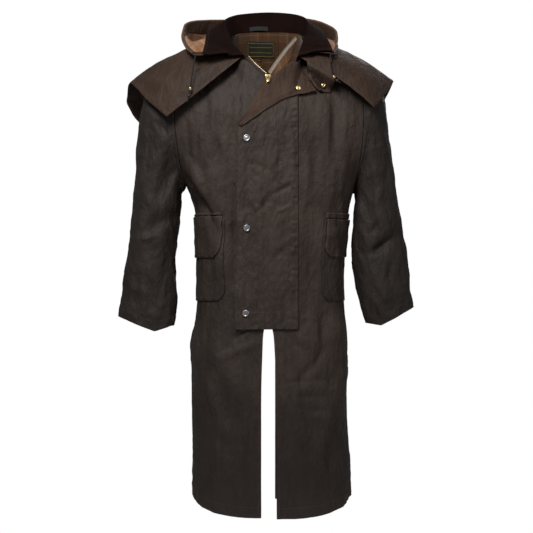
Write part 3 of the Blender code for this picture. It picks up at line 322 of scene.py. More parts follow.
def ripples(points: Grid, lengths: Point, seed: int, waves: int = 16) -> Grid:
    """Uneven waves over points in space.

    Args:
        points: The points, their last axis x, y, z.
        lengths: The usual wave length along x, y and z.
        seed: Picks the waves.
        waves: How many are added up.

    Returns:
        A value for each point, mostly from -1 to 1.
    """
    draw = np.random.default_rng(seed)
    ways = unit(draw.normal(size=(waves, 3))) * draw.uniform(0.6, 1.6, (waves, 1))
    turns = ways * 2 * math.pi / np.asarray(lengths)
    phases = draw.uniform(0, 2 * math.pi, waves)
    return np.sin(points @ turns.T + phases).sum(axis=-1) / math.sqrt(waves)


def crumple(points: Grid, lengths: Point, seed: int) -> Grid:
    """Uneven dents with crisp lines between them, from about -1 to 1, as stiff waxed cloth has.

    Args:
        points: The grid's points.
        lengths: The usual size of a dent along x, y and z.
        seed: Picks the dents.

    Returns:
        A value for each point.
    """
    soft = ripples(points, lengths, seed)
    crisp = 1 - 2.2 * np.abs(ripples(points, lengths, seed + 1))
    return np.clip(0.55 * soft + 0.45 * crisp, -1.2, 1.2)


def normals_of(points: Grid, closed: bool = False) -> Grid:
    """Unit normals of a grid, on the side from which its rows run up to the left of its columns.

    Args:
        points: The grid's points.
        closed: Whether its first and last columns are the same.

    Returns:
        A normal for each point.
    """
    if closed:
        round_trip = np.concatenate([points[:, -2:-1], points, points[:, 1:2]], axis=1)
        across = np.gradient(round_trip, axis=1)[:, 1:-1]
    else:
        across = np.gradient(points, axis=1)
    return unit(np.cross(across, np.gradient(points, axis=0)))


def moved_out(points: Grid, distance: Any) -> Grid:
    """A grid of points moved along its own normals, by one distance or by one for each point."""
    return points + normals_of(points) * np.asarray(distance)[..., None]


def hump(distance: Grid, place: float, width: float) -> Grid:
    """A smooth bump, 1 where the distance is at the place, which dies away over the width."""
    return np.exp(-(((distance - place) / width) ** 2))


def finer(points: Grid, times: int) -> Grid:
    """The grid's smooth surface, sampled times as finely each way.

    Args:
        points: The grid's points.
        times: New cells for each old one, each way.

    Returns:
        The finer grid.
    """
    rows, columns = points.shape[:2]
    tall = curve_through(np.arange(rows), points, span(0, rows - 1, (rows - 1) * times + 1))
    wide = curve_through(
        np.arange(columns), tall.transpose(1, 0, 2), span(0, columns - 1, (columns - 1) * times + 1)
    )
    return wide.transpose(1, 0, 2)


def eased(points: Grid, times: int) -> Grid:
    """A grid with its inner points drawn to the middle of their neighbours.

    Args:
        points: The grid's points.
        times: How often.

    Returns:
        The eased grid.
    """
    points = points.copy()
    for _ in range(times):
        middle = points[:-2, 1:-1] + points[2:, 1:-1] + points[1:-1, :-2] + points[1:-1, 2:]
        points[1:-1, 1:-1] = points[1:-1, 1:-1] * 0.5 + middle * 0.125
    return points


def lie_on(points: Grid, base: Grid, clearance: float, reach: float = 0.015, rounds: int = 4) -> Grid:
    """Moves points off a base grid wherever they lie nearer to it than a clearance.

    Args:
        points: The points to move.
        base: The grid that they lie on, on the side that its normals show.
        clearance: The least distance to it.
        reach: Points beside the grid by more than this stay.
        rounds: How often the points are moved.

    Returns:
        The moved points.
    """
    over, normal = base.reshape(-1, 3), normals_of(base).reshape(-1, 3)
    tree = kdtree.KDTree(len(over))
    for i, point in enumerate(over):
        tree.insert(point, i)
    tree.balance()
    moved = points.reshape(-1, 3).copy()
    for _ in range(rounds):
        nearest = np.array([tree.find(p)[1] for p in moved])
        away = moved - over[nearest]
        height = (away * normal[nearest]).sum(axis=-1)
        beside = np.linalg.norm(away - height[:, None] * normal[nearest], axis=-1)
        lift = np.where((height < clearance) & (beside < reach), clearance - height, 0.0)
        moved = moved + normal[nearest] * lift[:, None]
    return moved.reshape(points.shape)


def lengths_along(points: Grid, axis: int) -> Grid:
    """The way covered along rows, axis 0, or along columns, axis 1, from the grid's start.

    Args:
        points: The grid's points.
        axis: 0 or 1.

    Returns:
        A length for each point.
    """
    steps = np.linalg.norm(np.diff(points, axis=axis), axis=-1)
    start = np.zeros_like(np.take(points[..., 0], [0], axis=axis))
    return np.concatenate([start, np.cumsum(steps, axis=axis)], axis=axis)


def from_border(values: Grid, border: Border) -> Grid:
    """A grid turned so that the given border is its first row.

    Args:
        values: The grid.
        border: The border.

    Returns:
        The turned grid.
    """
    if border is Border.LOW:
        return values
    if border is Border.HIGH:
        return values[::-1]
    turned = values.swapaxes(0, 1)
    return turned if border is Border.FIRST else turned[::-1]


def distance_to(points: Grid, border: Border) -> Grid:
    """How far each point of a grid lies from one of its borders, along the cloth.

    Args:
        points: The grid's points.
        border: The border.

    Returns:
        A distance for each point.
    """
    turned = lengths_along(from_border(points, border), 0)
    if border is Border.LOW:
        return turned
    if border is Border.HIGH:
        return turned[::-1]
    return turned.swapaxes(0, 1) if border is Border.FIRST else turned[::-1].swapaxes(0, 1)


def line_from(points: Grid, values: Grid, border: Border, distance: float) -> Grid:
    """Values of a grid along the line that runs at a distance inside one of its borders.

    Args:
        points: The grid's points.
        values: What is read at them.
        border: The border.
        distance: How far inside it the line runs.

    Returns:
        A value for each place on the line.
    """
    turned, way = from_border(values, border), lengths_along(from_border(points, border), 0)
    i = np.clip((way < distance).sum(axis=0) - 1, 0, len(way) - 2)
    column = np.arange(way.shape[1])
    share = (distance - way[i, column]) / (way[i + 1, column] - way[i, column] + 1e-12)
    share = np.clip(share, 0.0, 1.0)[:, None]
    return turned[i, column] * (1 - share) + turned[i + 1, column] * share


def plain_mesh(name: str, points: Grid, faces: Sequence[Any], smooth: bool = True) -> bpy.types.Object:
    """An object at the origin, made of points and faces.

    Args:
        name: The piece's name.
        points: Its points.
        faces: The points' numbers for each face.
        smooth: Whether it is shaded smooth.

    Returns:
        The object.
    """
    mesh = bpy.data.meshes.new(name)
    mesh.from_pydata(np.asarray(points, float).tolist(), [], [list(f) for f in faces])
    mesh.validate()
    if smooth:
        mesh.shade_smooth()
    piece = bpy.data.objects.new(name, mesh)
    bpy.context.scene.collection.objects.link(piece)
    return piece


@dataclass
class Cloth:
    """A wall of cloth behind a grid of outer points.

    Attributes:
        name: The piece's name.
        points: Outer points. Rows run up and columns across, as normals_of says.
        wall: The cloth's thickness.
        flip: Turns the outer side round.
        closed: Joins the first and last columns.
        seams: Borders as (rows, columns, axis) where the wall ends square to an axis, as a seam does.
        hems: Borders with a turned, stitched edge.
        raised: How far the outer side alone is raised.
    """

    name: str
    points: Grid
    wall: float = WALL
    flip: bool = False
    closed: bool = False
    seams: tuple[tuple[Any, Any, int], ...] = ()
    hems: tuple[Border, ...] = ()
    raised: Any = 0.0

    def normals(self) -> Grid:
        """Normals on the outer side, square to an axis at the seams.

        Returns:
            A normal for each point.
        """
        out = normals_of(self.points, self.closed) * (-1.0 if self.flip else 1.0)
        for rows, columns, axis in self.seams:
            true = out[rows, columns].copy()
            held = true.copy()
            held[..., axis] = 0.0
            held /= np.maximum(np.sum(true * held, axis=-1, keepdims=True), 0.4)
            out[rows, columns] = held
        return out

    def edge_distance(self) -> Grid:
        """How far each point lies from the nearest hem, at most 1 m.

        Returns:
            A distance for each point.
        """
        away = np.ones(self.points.shape[:2])
        for border in self.hems:
            away = np.minimum(away, distance_to(self.points, border))
        return away

    def flat_places(self) -> Grid:
        """Where each point lay on the flat cloth, in metres.

        Returns:
            A place across and up for each point.
        """
        across = lengths_along(self.points, 1)
        up = lengths_along(self.points, 0).mean(axis=1, keepdims=True)
        across = across - across[:, across.shape[1] // 2][:, None]
        return np.stack([across, np.broadcast_to(up, across.shape)], axis=-1)

    def cut(self) -> tuple[float, float, float]:
        """Width, length and area of the flat cut.

        Returns:
            The three, in metres and square metres.
        """
        width = float(lengths_along(self.points, 1)[:, -1].max())
        length = float(lengths_along(self.points, 0)[-1].max())
        p = self.points
        first = np.cross(p[:-1, 1:] - p[:-1, :-1], p[1:, :-1] - p[:-1, :-1])
        second = np.cross(p[1:, :-1] - p[1:, 1:], p[:-1, 1:] - p[1:, 1:])
        area = float((np.linalg.norm(first, axis=-1) + np.linalg.norm(second, axis=-1)).sum() / 2)
        return width, length, min(area, width * length)

    def bulges(self) -> Grid:
        """How far the middle of each border's thickness stands out, so that the edge is round.

        Returns:
            A shift for each point, 0 inside the grid.
        """
        p = self.points
        out = np.zeros_like(p)
        out[0] += unit(p[0] - p[1])
        out[-1] += unit(p[-1] - p[-2])
        if not self.closed:
            out[:, 0] += unit(p[:, 0] - p[:, 1])
            out[:, -1] += unit(p[:, -1] - p[:, -2])
        out = unit(out) * self.wall * 0.38
        for rows, columns, _ in self.seams:
            out[rows, columns] = 0.0
        return out

    def rims(self, place: Grid) -> list[Grid]:
        """The borders as paths of grid places, the cloth on their left.

        Args:
            place: The number of each point.

        Returns:
            A path for each rim.
        """
        if self.closed:
            return [place[0], place[-1, ::-1]]
        path = [place[0], place[1:, -1], place[-1, :-1][::-1], place[:-1, 0][::-1]]
        return [np.concatenate(path)]

    def build(self) -> bpy.types.Object:
        """Makes the wall as a mesh.

        Returns:
            The object, with a UV map in metres and the attribute edge, the distance to the nearest hem.
        """
        rows, columns = self.points.shape[:2]
        out = self.normals()
        raised = np.broadcast_to(self.raised, (rows, columns))[..., None]
        outer = self.points + out * raised
        inner = self.points - out * self.wall
        middle = (outer + inner) / 2 + self.bulges()
        place = np.arange(rows * columns).reshape(rows, columns)
        own = place.copy()
        if self.closed:
            own[:, -1] = own[:, 0]
        size = rows * columns
        a, b, c, d = place[:-1, :-1], place[:-1, 1:], place[1:, 1:], place[1:, :-1]
        outside = np.stack([a, b, c, d], axis=-1).reshape(-1, 4)
        faces = [outside, outside[:, ::-1] + size]
        for rim in self.rims(place):
            here, there = rim[:-1], rim[1:]
            faces.append(np.stack([there, here, here + 2 * size, there + 2 * size], axis=-1))
            faces.append(np.stack([there + 2 * size, here + 2 * size, here + size, there + size], axis=-1))
        faces = np.concatenate(faces)
        if self.flip:
            faces = faces[:, ::-1]
        owners = np.concatenate([own.ravel() + layer * size for layer in range(3)])
        used, corners = np.unique(owners[faces], return_inverse=True)
        every = np.concatenate([layer.reshape(-1, 3) for layer in (outer, inner, middle)])
        piece = plain_mesh(self.name, every[used], corners.reshape(-1, 4))
        flat = np.tile(self.flat_places().reshape(-1, 2), (3, 1))
        uv = piece.data.uv_layers.new(name="UVMap")
        uv.data.foreach_set("uv", flat[faces].ravel().astype(np.float32))
        edge = piece.data.attributes.new("edge", "FLOAT", "POINT")
        away = np.tile(self.edge_distance().ravel(), 3)
        edge.data.foreach_set("value", away[used].astype(np.float32))
        return piece


def tube(name: str, path: Grid, radius: float, sides: int = 12) -> bpy.types.Object:
    """A round bar with domed ends along a path, with a UV map in metres round and along it.

    Args:
        name: The piece's name.
        path: Points of its middle.
        radius: Its radius.
        sides: Its sides.

    Returns:
        The object.
    """
    way = unit(np.gradient(path, axis=0))
    side = unit(np.cross(way[0], [0.3, 0.2, 0.93]))
    rings, lengths = [], lengths_along(path[:, None], 0)[:, 0]
    for point, toward in zip(path, way):
        side = unit(side - toward * (side @ toward))
        up = np.cross(toward, side)
        turn = span(0, 2 * math.pi, sides + 1)[:, None]
        rings.append((point, side, up, turn))
    shrink = [(-0.9, 0.45), (-0.5, 0.85)]
    stack = []
    for back, share in shrink:
        point, side, up, turn = rings[0]
        stack.append((point + way[0] * back * radius, side, up, turn, share * radius, back * radius))
    stack += [(*ring, radius, length) for ring, length in zip(rings, lengths)]
    for back, share in shrink[::-1]:
        point, side, up, turn = rings[-1]
        end = lengths[-1] - back * radius
        stack.append((point - way[-1] * back * radius, side, up, turn, share * radius, end))
    points = np.stack([p + (np.cos(t) * s + np.sin(t) * u) * r for p, s, u, t, r, _ in stack])
    flat = np.stack([np.stack([t[:, 0] * radius, np.full(sides + 1, v)], axis=-1) for *_, t, _, v in stack])
    rows = len(stack)
    place = np.arange(rows * (sides + 1)).reshape(rows, sides + 1)
    own = place.copy()
    own[:, -1] = own[:, 0]
    faces = np.stack([place[:-1, :-1], place[:-1, 1:], place[1:, 1:], place[1:, :-1]], axis=-1).reshape(-1, 4)
    used, corners = np.unique(own.ravel()[faces], return_inverse=True)
    quads = corners.reshape(-1, 4).tolist()
    caps = [np.searchsorted(used, own[0, :-1])[::-1].tolist(), np.searchsorted(used, own[-1, :-1]).tolist()]
    piece = plain_mesh(name, points.reshape(-1, 3)[used], quads + caps)
    uv = piece.data.uv_layers.new(name="UVMap")
    cap_flat = [flat.reshape(-1, 2)[own[r, :-1]] for r in (0, -1)]
    uv.data.foreach_set("uv", np.concatenate([flat.reshape(-1, 2)[faces].reshape(-1, 2), *cap_flat]).ravel())
    return piece


def turned(name: str, outline: Sequence[Place], point: Any, normal: Any, steps: int = 40) -> bpy.types.Object:
    """A solid of revolution from an outline of radii and heights, stood on a point along a normal.

    Args:
        name: The piece's name.
        outline: Radii and heights, from its top down.
        point: Where it stands.
        normal: The way of its axis.
        steps: Its sides.

    Returns:
        The object.
    """
    up = unit(np.asarray(normal, float))
    side = unit(np.cross(up, [0.31, 0.17, 0.9]))
    ahead = np.cross(up, side)
    turn = span(0, 2 * math.pi, steps + 1)[:-1]
    round_it = np.cos(turn)[:, None] * side + np.sin(turn)[:, None] * ahead
    points, rings, faces = [], [], []
    for radius, height in outline:
        centre = np.asarray(point, float) + up * height
        if radius < 1e-6:
            rings.append([len(points)] * steps)
            points.append(centre)
        else:
            rings.append(list(range(len(points), len(points) + steps)))
            points.extend(centre + round_it * radius)
    closed = outline[0][0] > 1e-6
    pairs = list(zip(rings, rings[1:])) + ([(rings[-1], rings[0])] if closed else [])
    for high, low in pairs:
        for i in range(steps):
            j = (i + 1) % steps
            face = list(dict.fromkeys((high[i], low[i], low[j], high[j])))
            if len(face) > 2:
                faces.append(face)
    return plain_mesh(name, np.array(points), faces)


class Value:
    """A node's output, which can be reckoned with. Each sum adds its Math node."""

    def __init__(self, recipe: Recipe, socket: bpy.types.NodeSocket) -> None:
        """Keeps the recipe that the socket is part of."""
        self.recipe = recipe
        self.socket = socket

    def maths(self, operation: str, first: Any, second: Any = 0.0) -> Value:
        """Adds a Math node for the operation on two numbers or values."""
        return self.recipe.value("ShaderNodeMath", {"operation": operation}, {0: first, 1: second})

    def __add__(self, other: Any) -> Value:
        """self + other."""
        return self.maths("ADD", self, other)

    def __radd__(self, other: Any) -> Value:
        """other + self."""
        return self.maths("ADD", other, self)

    def __sub__(self, other: Any) -> Value:
        """self - other."""
        return self.maths("SUBTRACT", self, other)

    def __rsub__(self, other: Any) -> Value:
        """other - self."""
        return self.maths("SUBTRACT", other, self)

    def __mul__(self, other: Any) -> Value:
        """self * other."""
        return self.maths("MULTIPLY", self, other)

    def __rmul__(self, other: Any) -> Value:
        """other * self."""
        return self.maths("MULTIPLY", other, self)

    def __truediv__(self, other: Any) -> Value:
        """self / other."""
        return self.maths("DIVIDE", self, other)

    def __abs__(self) -> Value:
        """The value without its sign."""
        return self.maths("ABSOLUTE", self)

    def wave(self, length: float) -> Value:
        """A sine of the value with that wave length, from -1 to 1."""
        return self.maths("SINE", self * (2 * math.pi / length))

    def share_of(self, length: float) -> Value:
        """How far into the current length the value lies, from 0 to 1."""
        return self.maths("FRACT", self / length)

    def most(self, other: Any) -> Value:
        """The larger of two values."""
        return self.maths("MAXIMUM", self, other)

    def step(self, low: float, high: float) -> Value:
        """Rises smoothly from 0 at low to 1 at high."""
        settings = {"interpolation_type": "SMOOTHSTEP"}
        return self.recipe.value("ShaderNodeMapRange", settings, {"Value": self, 1: low, 2: high})


class Recipe:
    """A material that is put together node by node."""

    def __init__(self, name: str) -> None:
        """Starts an empty material of that name.

        Args:
            name: The material's name.
        """
        self.material = bpy.data.materials.new(name)
        self.material.use_nodes = True
        self.tree = self.material.node_tree
        self.tree.nodes.clear()

    def node(self, kind: str, settings: dict[str, Any], sockets: dict[Any, Any]) -> bpy.types.Node:
        """Adds a node.

        Args:
            kind: The node's type.
            settings: Its properties, set before its sockets.
            sockets: Numbers, colours or values for its inputs, by name or index.

        Returns:
            The node.
        """
        made = self.tree.nodes.new(kind)
        for name, setting in settings.items():
            setattr(made, name, setting)
        for key, value in sockets.items():
            if isinstance(value, Value):
                self.tree.links.new(value.socket, made.inputs[key])
            elif isinstance(value, tuple) and made.inputs[key].type == "RGBA":
                made.inputs[key].default_value = (*value, 1.0)
            else:
                made.inputs[key].default_value = value
        return made

    def value(self, kind: str, settings: dict[str, Any], sockets: dict[Any, Any], output: Any = 0) -> Value:
        """Adds a node as node does, and gives one of its outputs by name or index."""
        return Value(self, self.node(kind, settings, sockets).outputs[output])

    def place(self, stretch: Point = (1.0, 1.0, 1.0)) -> Value:
        """The point on the object, in metres, with its axes stretched."""
        here = self.value("ShaderNodeTexCoord", {}, {}, "Object")
        return self.value("ShaderNodeMapping", {}, {"Vector": here, "Scale": stretch})

    def flat(self) -> tuple[Value, Value]:
        """The place on the flat cloth, across and up, in metres.

        Returns:
            The two values.
        """
        there = self.value("ShaderNodeUVMap", {"uv_map": "UVMap"}, {})
        split = self.node("ShaderNodeSeparateXYZ", {}, {0: there})
        return Value(self, split.outputs[0]), Value(self, split.outputs[1])

    def height(self) -> Value:
        """The height of the point on the object, in metres."""
        return self.value("ShaderNodeSeparateXYZ", {}, {0: self.place()}, 2)

    def worn(self, start: float, end: float) -> Value:
        """1 at a hem, and down to 0 between two distances from it in metres."""
        away = self.value("ShaderNodeAttribute", {"attribute_name": "edge"}, {}, "Fac")
        return 1 - away.step(start, end)

    def noise(self, scale: float, detail: float = 2.0, stretch: Point = (1.0, 1.0, 1.0)) -> Value:
        """Uneven values from 0 to 1 over the object, with as many bumps in a metre as scale says."""
        sockets = {"Vector": self.place(stretch), "Scale": scale, "Detail": detail}
        return self.value("ShaderNodeTexNoise", {}, sockets, "Fac")

    def blend(self, share: Any, first: Any, second: Any) -> Value:
        """A colour between two, by the second one's share."""
        return self.value("ShaderNodeMix", {"data_type": "RGBA"}, {0: share, 6: first, 7: second}, 2)

    def bump(self, height: Value, depth: float, below: Value | None = None) -> Value:
        """A normal for small relief.

        Args:
            height: The relief, from 0 to 1.
            depth: Its depth in metres.
            below: The normal of coarser relief under it.

        Returns:
            The normal.
        """
        sockets = {"Height": height, "Distance": depth, "Strength": 1.0}
        if below is not None:
            sockets["Normal"] = below
        return self.value("ShaderNodeBump", {}, sockets)

    def finish(self, sockets: dict[str, Any]) -> bpy.types.Material:
        """Adds the shader with the given inputs, and gives the finished material.

        Args:
            sockets: The shader's inputs.

        Returns:
            The material.
        """
        shader = self.value("ShaderNodeBsdfPrincipled", {}, sockets)
        self.node("ShaderNodeOutputMaterial", {}, {"Surface": shader})
        return self.material


@dataclass(frozen=True)
class Finish:
    """A finish: its material's name, the record's slot that it belongs to, and its main colour."""

    name: str
    slot: str
    colour: Colour

    def shade(self, share: float) -> Colour:
        """The main colour at a share of its brightness."""
        return darker(self.colour, share)

    def inputs(self, mix: Recipe) -> dict[str, Any]:
        """What the shader gets. Each kind of finish says it."""
        raise NotImplementedError


def darker(colour: Colour, share: float) -> Colour:
    """A colour at a share of its brightness."""
    return colour[0] * share, colour[1] * share, colour[2] * share


@cache
def material_of(finish: Finish) -> bpy.types.Material:
    """The material of a finish, made once."""
    mix = Recipe(finish.name)
    return mix.finish(finish.inputs(mix))


@dataclass(frozen=True)
class WaxedCotton(Finish):
    """Stiff waxed cotton: a mottled, dull sheen, fine creases, wear along its hems, and painted shade that
    darkens it towards the hem.
    """

    roughness: float = 0.56
    wear: float = 1.55
    mottle: float = 0.28
    # fade: the share of painted shade at the hem, standing in for light falling off down the coat.
    fade: float = 0.0
    yarn: float = 0.0011

    def inputs(self, mix: Recipe) -> dict[str, Any]:
        """What the shader gets.

        Args:
            mix: The recipe that its nodes are added to.

        Returns:
            The inputs by name.
        """
        patches = mix.noise(11.0, 4.0)
        tone = patches.step(0.3, 0.72) * 0.65 + mix.noise(95.0, 3.0, (1.0, 1.0, 0.12)).step(0.32, 0.7) * 0.35
        rubbed = mix.worn(0.0008, 0.0045) * mix.noise(70.0).step(0.3, 0.62)
        colour = mix.blend(tone, self.shade(1 - self.mottle), self.shade(1 + self.mottle))
        colour = mix.blend(rubbed, colour, self.shade(self.wear))
        # Painted shade: the colour darkens from the waist down to the hem, by fade.
        low = 1 - mix.height().step(*PAINTED_SHADE_HEIGHTS)
        creases = abs(mix.noise(55.0, 3.0, (1.0, 1.0, 0.55)) - 0.5)
        across, up = mix.flat()
        grain = mix.noise(620.0) + across.wave(self.yarn) * up.wave(self.yarn) * 0.25
        return {
            "Base Color": mix.blend(low * self.fade, colour, self.shade(0.3)),
            "Roughness": self.roughness + patches * 0.16,
            "Specular IOR Level": 0.22,
            "Normal": mix.bump(grain, 0.00016, mix.bump(1 - creases.step(0.0, 0.16), 0.0009)),
        }


@dataclass(frozen=True)
class Corduroy(Finish):
    """Corduroy with wales that run across the collar, with painted shade between them."""

    wale: float = 0.0026

    def inputs(self, mix: Recipe) -> dict[str, Any]:
        """What the shader gets.

        Args:
            mix: The recipe that its nodes are added to.

        Returns:
            The inputs by name.
        """
        rib = mix.flat()[0].wave(self.wale) * 0.5 + 0.5
        pile = mix.noise(240.0, 3.0)
        # The wales' relief also darkens the colour between them: painted shade.
        tone = rib * 0.5 + mix.noise(26.0, 3.0).step(0.3, 0.7) * 0.35 + pile * 0.3
        colour = mix.blend(tone, self.shade(0.45), self.shade(1.75))
        return {
            "Base Color": mix.blend(mix.worn(0.0006, 0.004) * 0.5, colour, self.shade(2.2)),
            "Roughness": 0.86 + pile * 0.1,
            "Specular IOR Level": 0.06,
            "Normal": mix.bump(pile, 0.0002, mix.bump(rib, 0.0007)),
        }


class Stripe(NamedTuple):
    """A stripe of the check: its place in the repeat, half its width in metres, its colour and its share."""

    at: float
    half: float
    colour: Colour
    share: float


@dataclass(frozen=True)
class Check(Finish):
    """A brushed cotton lining with a plain woven check."""

    # A brightness below 1 darkens the whole check, stripes too: painted shade.
    brightness: float = 1.0
    repeat: float = 0.076
    twill: float = 0.0012
    stripes: tuple[Stripe, ...] = (
        Stripe(0.2, 0.0105, (0.12, 0.055, 0.026), 0.42),
        Stripe(0.36, 0.0013, (0.03, 0.018, 0.012), 0.5),
        Stripe(0.52, 0.0042, (0.235, 0.12, 0.105), 0.42),
        Stripe(0.66, 0.001, (0.56, 0.43, 0.28), 0.55),
        Stripe(0.8, 0.006, (0.165, 0.08, 0.04), 0.4),
        Stripe(0.93, 0.001, (0.03, 0.018, 0.012), 0.45),
    )

    def inputs(self, mix: Recipe) -> dict[str, Any]:
        """What the shader gets.

        Args:
            mix: The recipe that its nodes are added to.

        Returns:
            The inputs by name.
        """
        colour: Any = self.shade(self.brightness)
        ways = mix.flat()
        for stripe in self.stripes:
            half = stripe.half / self.repeat
            for way in ways:
                off = abs((way + (0.5 - stripe.at) * self.repeat).share_of(self.repeat) - 0.5)
                inside = 1 - off.step(half * 0.85, half * 1.15)
                colour = mix.blend(inside * stripe.share, colour, darker(stripe.colour, self.brightness))
        nap = mix.noise(420.0, 3.0)
        patches = mix.noise(22.0).step(0.3, 0.7)
        return {
            "Base Color": mix.blend(patches * 0.2 + nap * 0.15, colour, self.shade(0.45 * self.brightness)),
            "Roughness": 0.85 + nap * 0.1,
            "Specular IOR Level": 0.15,
            "Sheen Weight": 0.12,
            "Normal": mix.bump(nap + ((ways[0] + ways[1]).wave(self.twill) * 0.5 + 0.5) * 0.4, 0.00025),
        }


@dataclass(frozen=True)
class WovenTape(Finish):
    """Woven tape in a herringbone."""

    rib: float = 0.0012
    herringbone: float = 0.006

    def inputs(self, mix: Recipe) -> dict[str, Any]:
        """What the shader gets.

        Args:
            mix: The recipe that its nodes are added to.

        Returns:
            The inputs by name.
        """
        across, up = mix.flat()
        slant = abs(up.share_of(self.herringbone) - 0.5) * (2 * self.herringbone)
        rib = (across + slant).wave(self.rib) * 0.5 + 0.5
        fuzz = mix.noise(500.0)
        return {
            # The ribs' relief also darkens the colour in their hollows: painted shade.
            "Base Color": mix.blend(rib * 0.5 + fuzz * 0.4, self.shade(0.62), self.colour),
            "Roughness": 0.7 + fuzz * 0.15,
            "Specular IOR Level": 0.25,
            "Normal": mix.bump(rib, 0.00022),
        }


@dataclass(frozen=True)
class BareLabel(Finish):
    """A woven label with nothing on it but a border and two plain rules."""

    width: float = 0.0715
    height: float = 0.039
    rule: Colour = (0.15, 0.105, 0.03)
    rule_width: float = 0.0016
    margin: float = 0.0028
    yarn: float = 0.0007

    def inputs(self, mix: Recipe) -> dict[str, Any]:
        """What the shader gets.

        Args:
            mix: The recipe that its nodes are added to.

        Returns:
            The inputs by name.
        """
        across, up = mix.flat()
        side = self.width / 2 - abs(across)
        end = self.height / 2 - abs(up - self.height / 2)
        near = -1.0 * (-1.0 * side).most(-1.0 * end)
        border = 1 - abs(near - self.margin).step(self.rule_width * 0.35, self.rule_width * 0.65)
        inner = side.step(self.margin * 2.4, self.margin * 2.6)
        level = abs(abs(up - self.height / 2) - self.height * 0.17)
        rules = (1 - level.step(self.rule_width * 0.3, self.rule_width * 0.55)) * inner
        fuzz = mix.noise(600.0)
        return {
            "Base Color": mix.blend(border.most(rules) * (0.7 + fuzz * 0.5), self.colour, self.rule),
            "Roughness": 0.66 + fuzz * 0.15,
            "Specular IOR Level": 0.25,
            "Normal": mix.bump(across.wave(self.yarn) * 0.5 + 0.5 + fuzz, 0.0001),
        }


@dataclass(frozen=True)
class Braid(Finish):
    """A round braided cord."""

    pitch: float = 0.003
    radius: float = 0.0016

    def inputs(self, mix: Recipe) -> dict[str, Any]:
        """What the shader gets.

        Args:
            mix: The recipe that its nodes are added to.

        Returns:
            The inputs by name.
        """
        around, along = mix.flat()
        turn = around * (self.pitch / (math.pi * self.radius))
        strands = (turn + along).wave(self.pitch).most((turn - along).wave(self.pitch)) * 0.5 + 0.5
        fuzz = mix.noise(700.0)
        return {
            # The strands' relief also darkens the colour between them: painted shade.
            "Base Color": mix.blend(strands * 0.6 + fuzz * 0.4, self.shade(0.45), self.shade(1.5)),
            "Roughness": 0.66 + fuzz * 0.2,
            "Specular IOR Level": 0.3,
            "Normal": mix.bump(strands, 0.0003),
        }


@dataclass(frozen=True)
class Plain(Finish):
    """An even finish with a fine grain, such as sewing thread or moulded plastic."""

    dark: float = 0.7
    roughness: float = 0.6
    uneven: float = 0.2
    gloss: float = 0.3
    relief: float = 0.00008

    def inputs(self, mix: Recipe) -> dict[str, Any]:
        """What the shader gets.

        Args:
            mix: The recipe that its nodes are added to.

        Returns:
            The inputs by name.
        """
        grain = mix.noise(900.0)
        return {
            "Base Color": mix.blend(grain, self.shade(self.dark), self.shade(1.3)),
            "Roughness": self.roughness + grain * self.uneven,
            "Specular IOR Level": self.gloss,
            "Normal": mix.bump(grain, self.relief),
        }


@dataclass(frozen=True)
class Metal(Finish):
    """Plated metal with fine scratches and a little dirt."""

    roughness: float = 0.26

    def inputs(self, mix: Recipe) -> dict[str, Any]:
        """What the shader gets.

        Args:
            mix: The recipe that its nodes are added to.

        Returns:
            The inputs by name.
        """
        scratches = mix.noise(800.0, 3.0, (1.0, 1.0, 9.0))
        dirt = mix.noise(260.0, 3.0).step(0.5, 0.75)
        return {
            "Base Color": mix.blend(dirt * 0.5, self.colour, self.shade(0.45)),
            "Metallic": 1.0,
            "Roughness": self.roughness + scratches * 0.12 + dirt * 0.15,
            "Normal": mix.bump(scratches, 0.00003),
        }


CHECK_GROUND = (0.34, 0.155, 0.058)
NICKEL = (0.43, 0.43, 0.44)
# The body cloth and its lighter copy darken towards the hem by their fade: painted shade.
CLOTH = WaxedCotton("waxed_cotton_body", "waxed_cotton", (0.037, 0.0262, 0.0205), fade=0.55)
# The body cloth painted lighter: painted light on the wearer's left front, the storm flap and the left
# pocket's welt and flap.
LIT_FRONT_CLOTH = WaxedCotton("waxed_cotton_front_painted_light", "waxed_cotton", (0.043, 0.03, 0.0235), fade=0.7)
# The body cloth painted darker: painted shade on the sleeves.
SHADED_SLEEVE_CLOTH = WaxedCotton("waxed_cotton_sleeve_painted_shade", "waxed_cotton", (0.0245, 0.018, 0.0148))
CAPE_CLOTH = WaxedCotton("waxed_cotton_cape", "waxed_cotton", (0.0385, 0.0215, 0.014))
INSIDE = WaxedCotton("waxed_cotton_inside", "waxed_cotton_inside", (0.048, 0.0265, 0.016), 0.62)
CORDUROY = Corduroy("collar_corduroy", "corduroy", (0.0078, 0.003, 0.0022))
CHECK = Check("check_lining", "plaid_lining", CHECK_GROUND)
# Copies of the check painted darker: painted shade in the neck lining and on the facing in the V.
SHADED_NECK_CHECK = Check("check_neck_lining_painted_shade", "plaid_lining", CHECK_GROUND, 0.28)
SHADED_FACING_CHECK = Check("check_facing_painted_shade", "plaid_lining", CHECK_GROUND, 0.55)
LABEL = BareLabel("bare_label", "label", (0.014, 0.014, 0.008))
SILVER_TAPE = WovenTape("silver_tape", "zip_tape", (0.42, 0.36, 0.3))
DARK_TAPE = WovenTape("dark_tape", "zip_tape", (0.05, 0.034, 0.024))
GREY_TAPE = WovenTape("grey_tape", "tape", (0.03, 0.029, 0.029))
BRASS = Metal("brass", "brass", (0.86, 0.64, 0.29), 0.24)
OLD_BRASS = Metal("old_brass", "brass", (0.48, 0.39, 0.27), 0.32)
SNAP_STEEL = Metal("snap_nickel", "snap_metal", NICKEL)
ZIP_STEEL = Metal("zip_nickel", "zip_metal", NICKEL)
CORD = Braid("hood_cord", "cord", (0.012, 0.0105, 0.01))
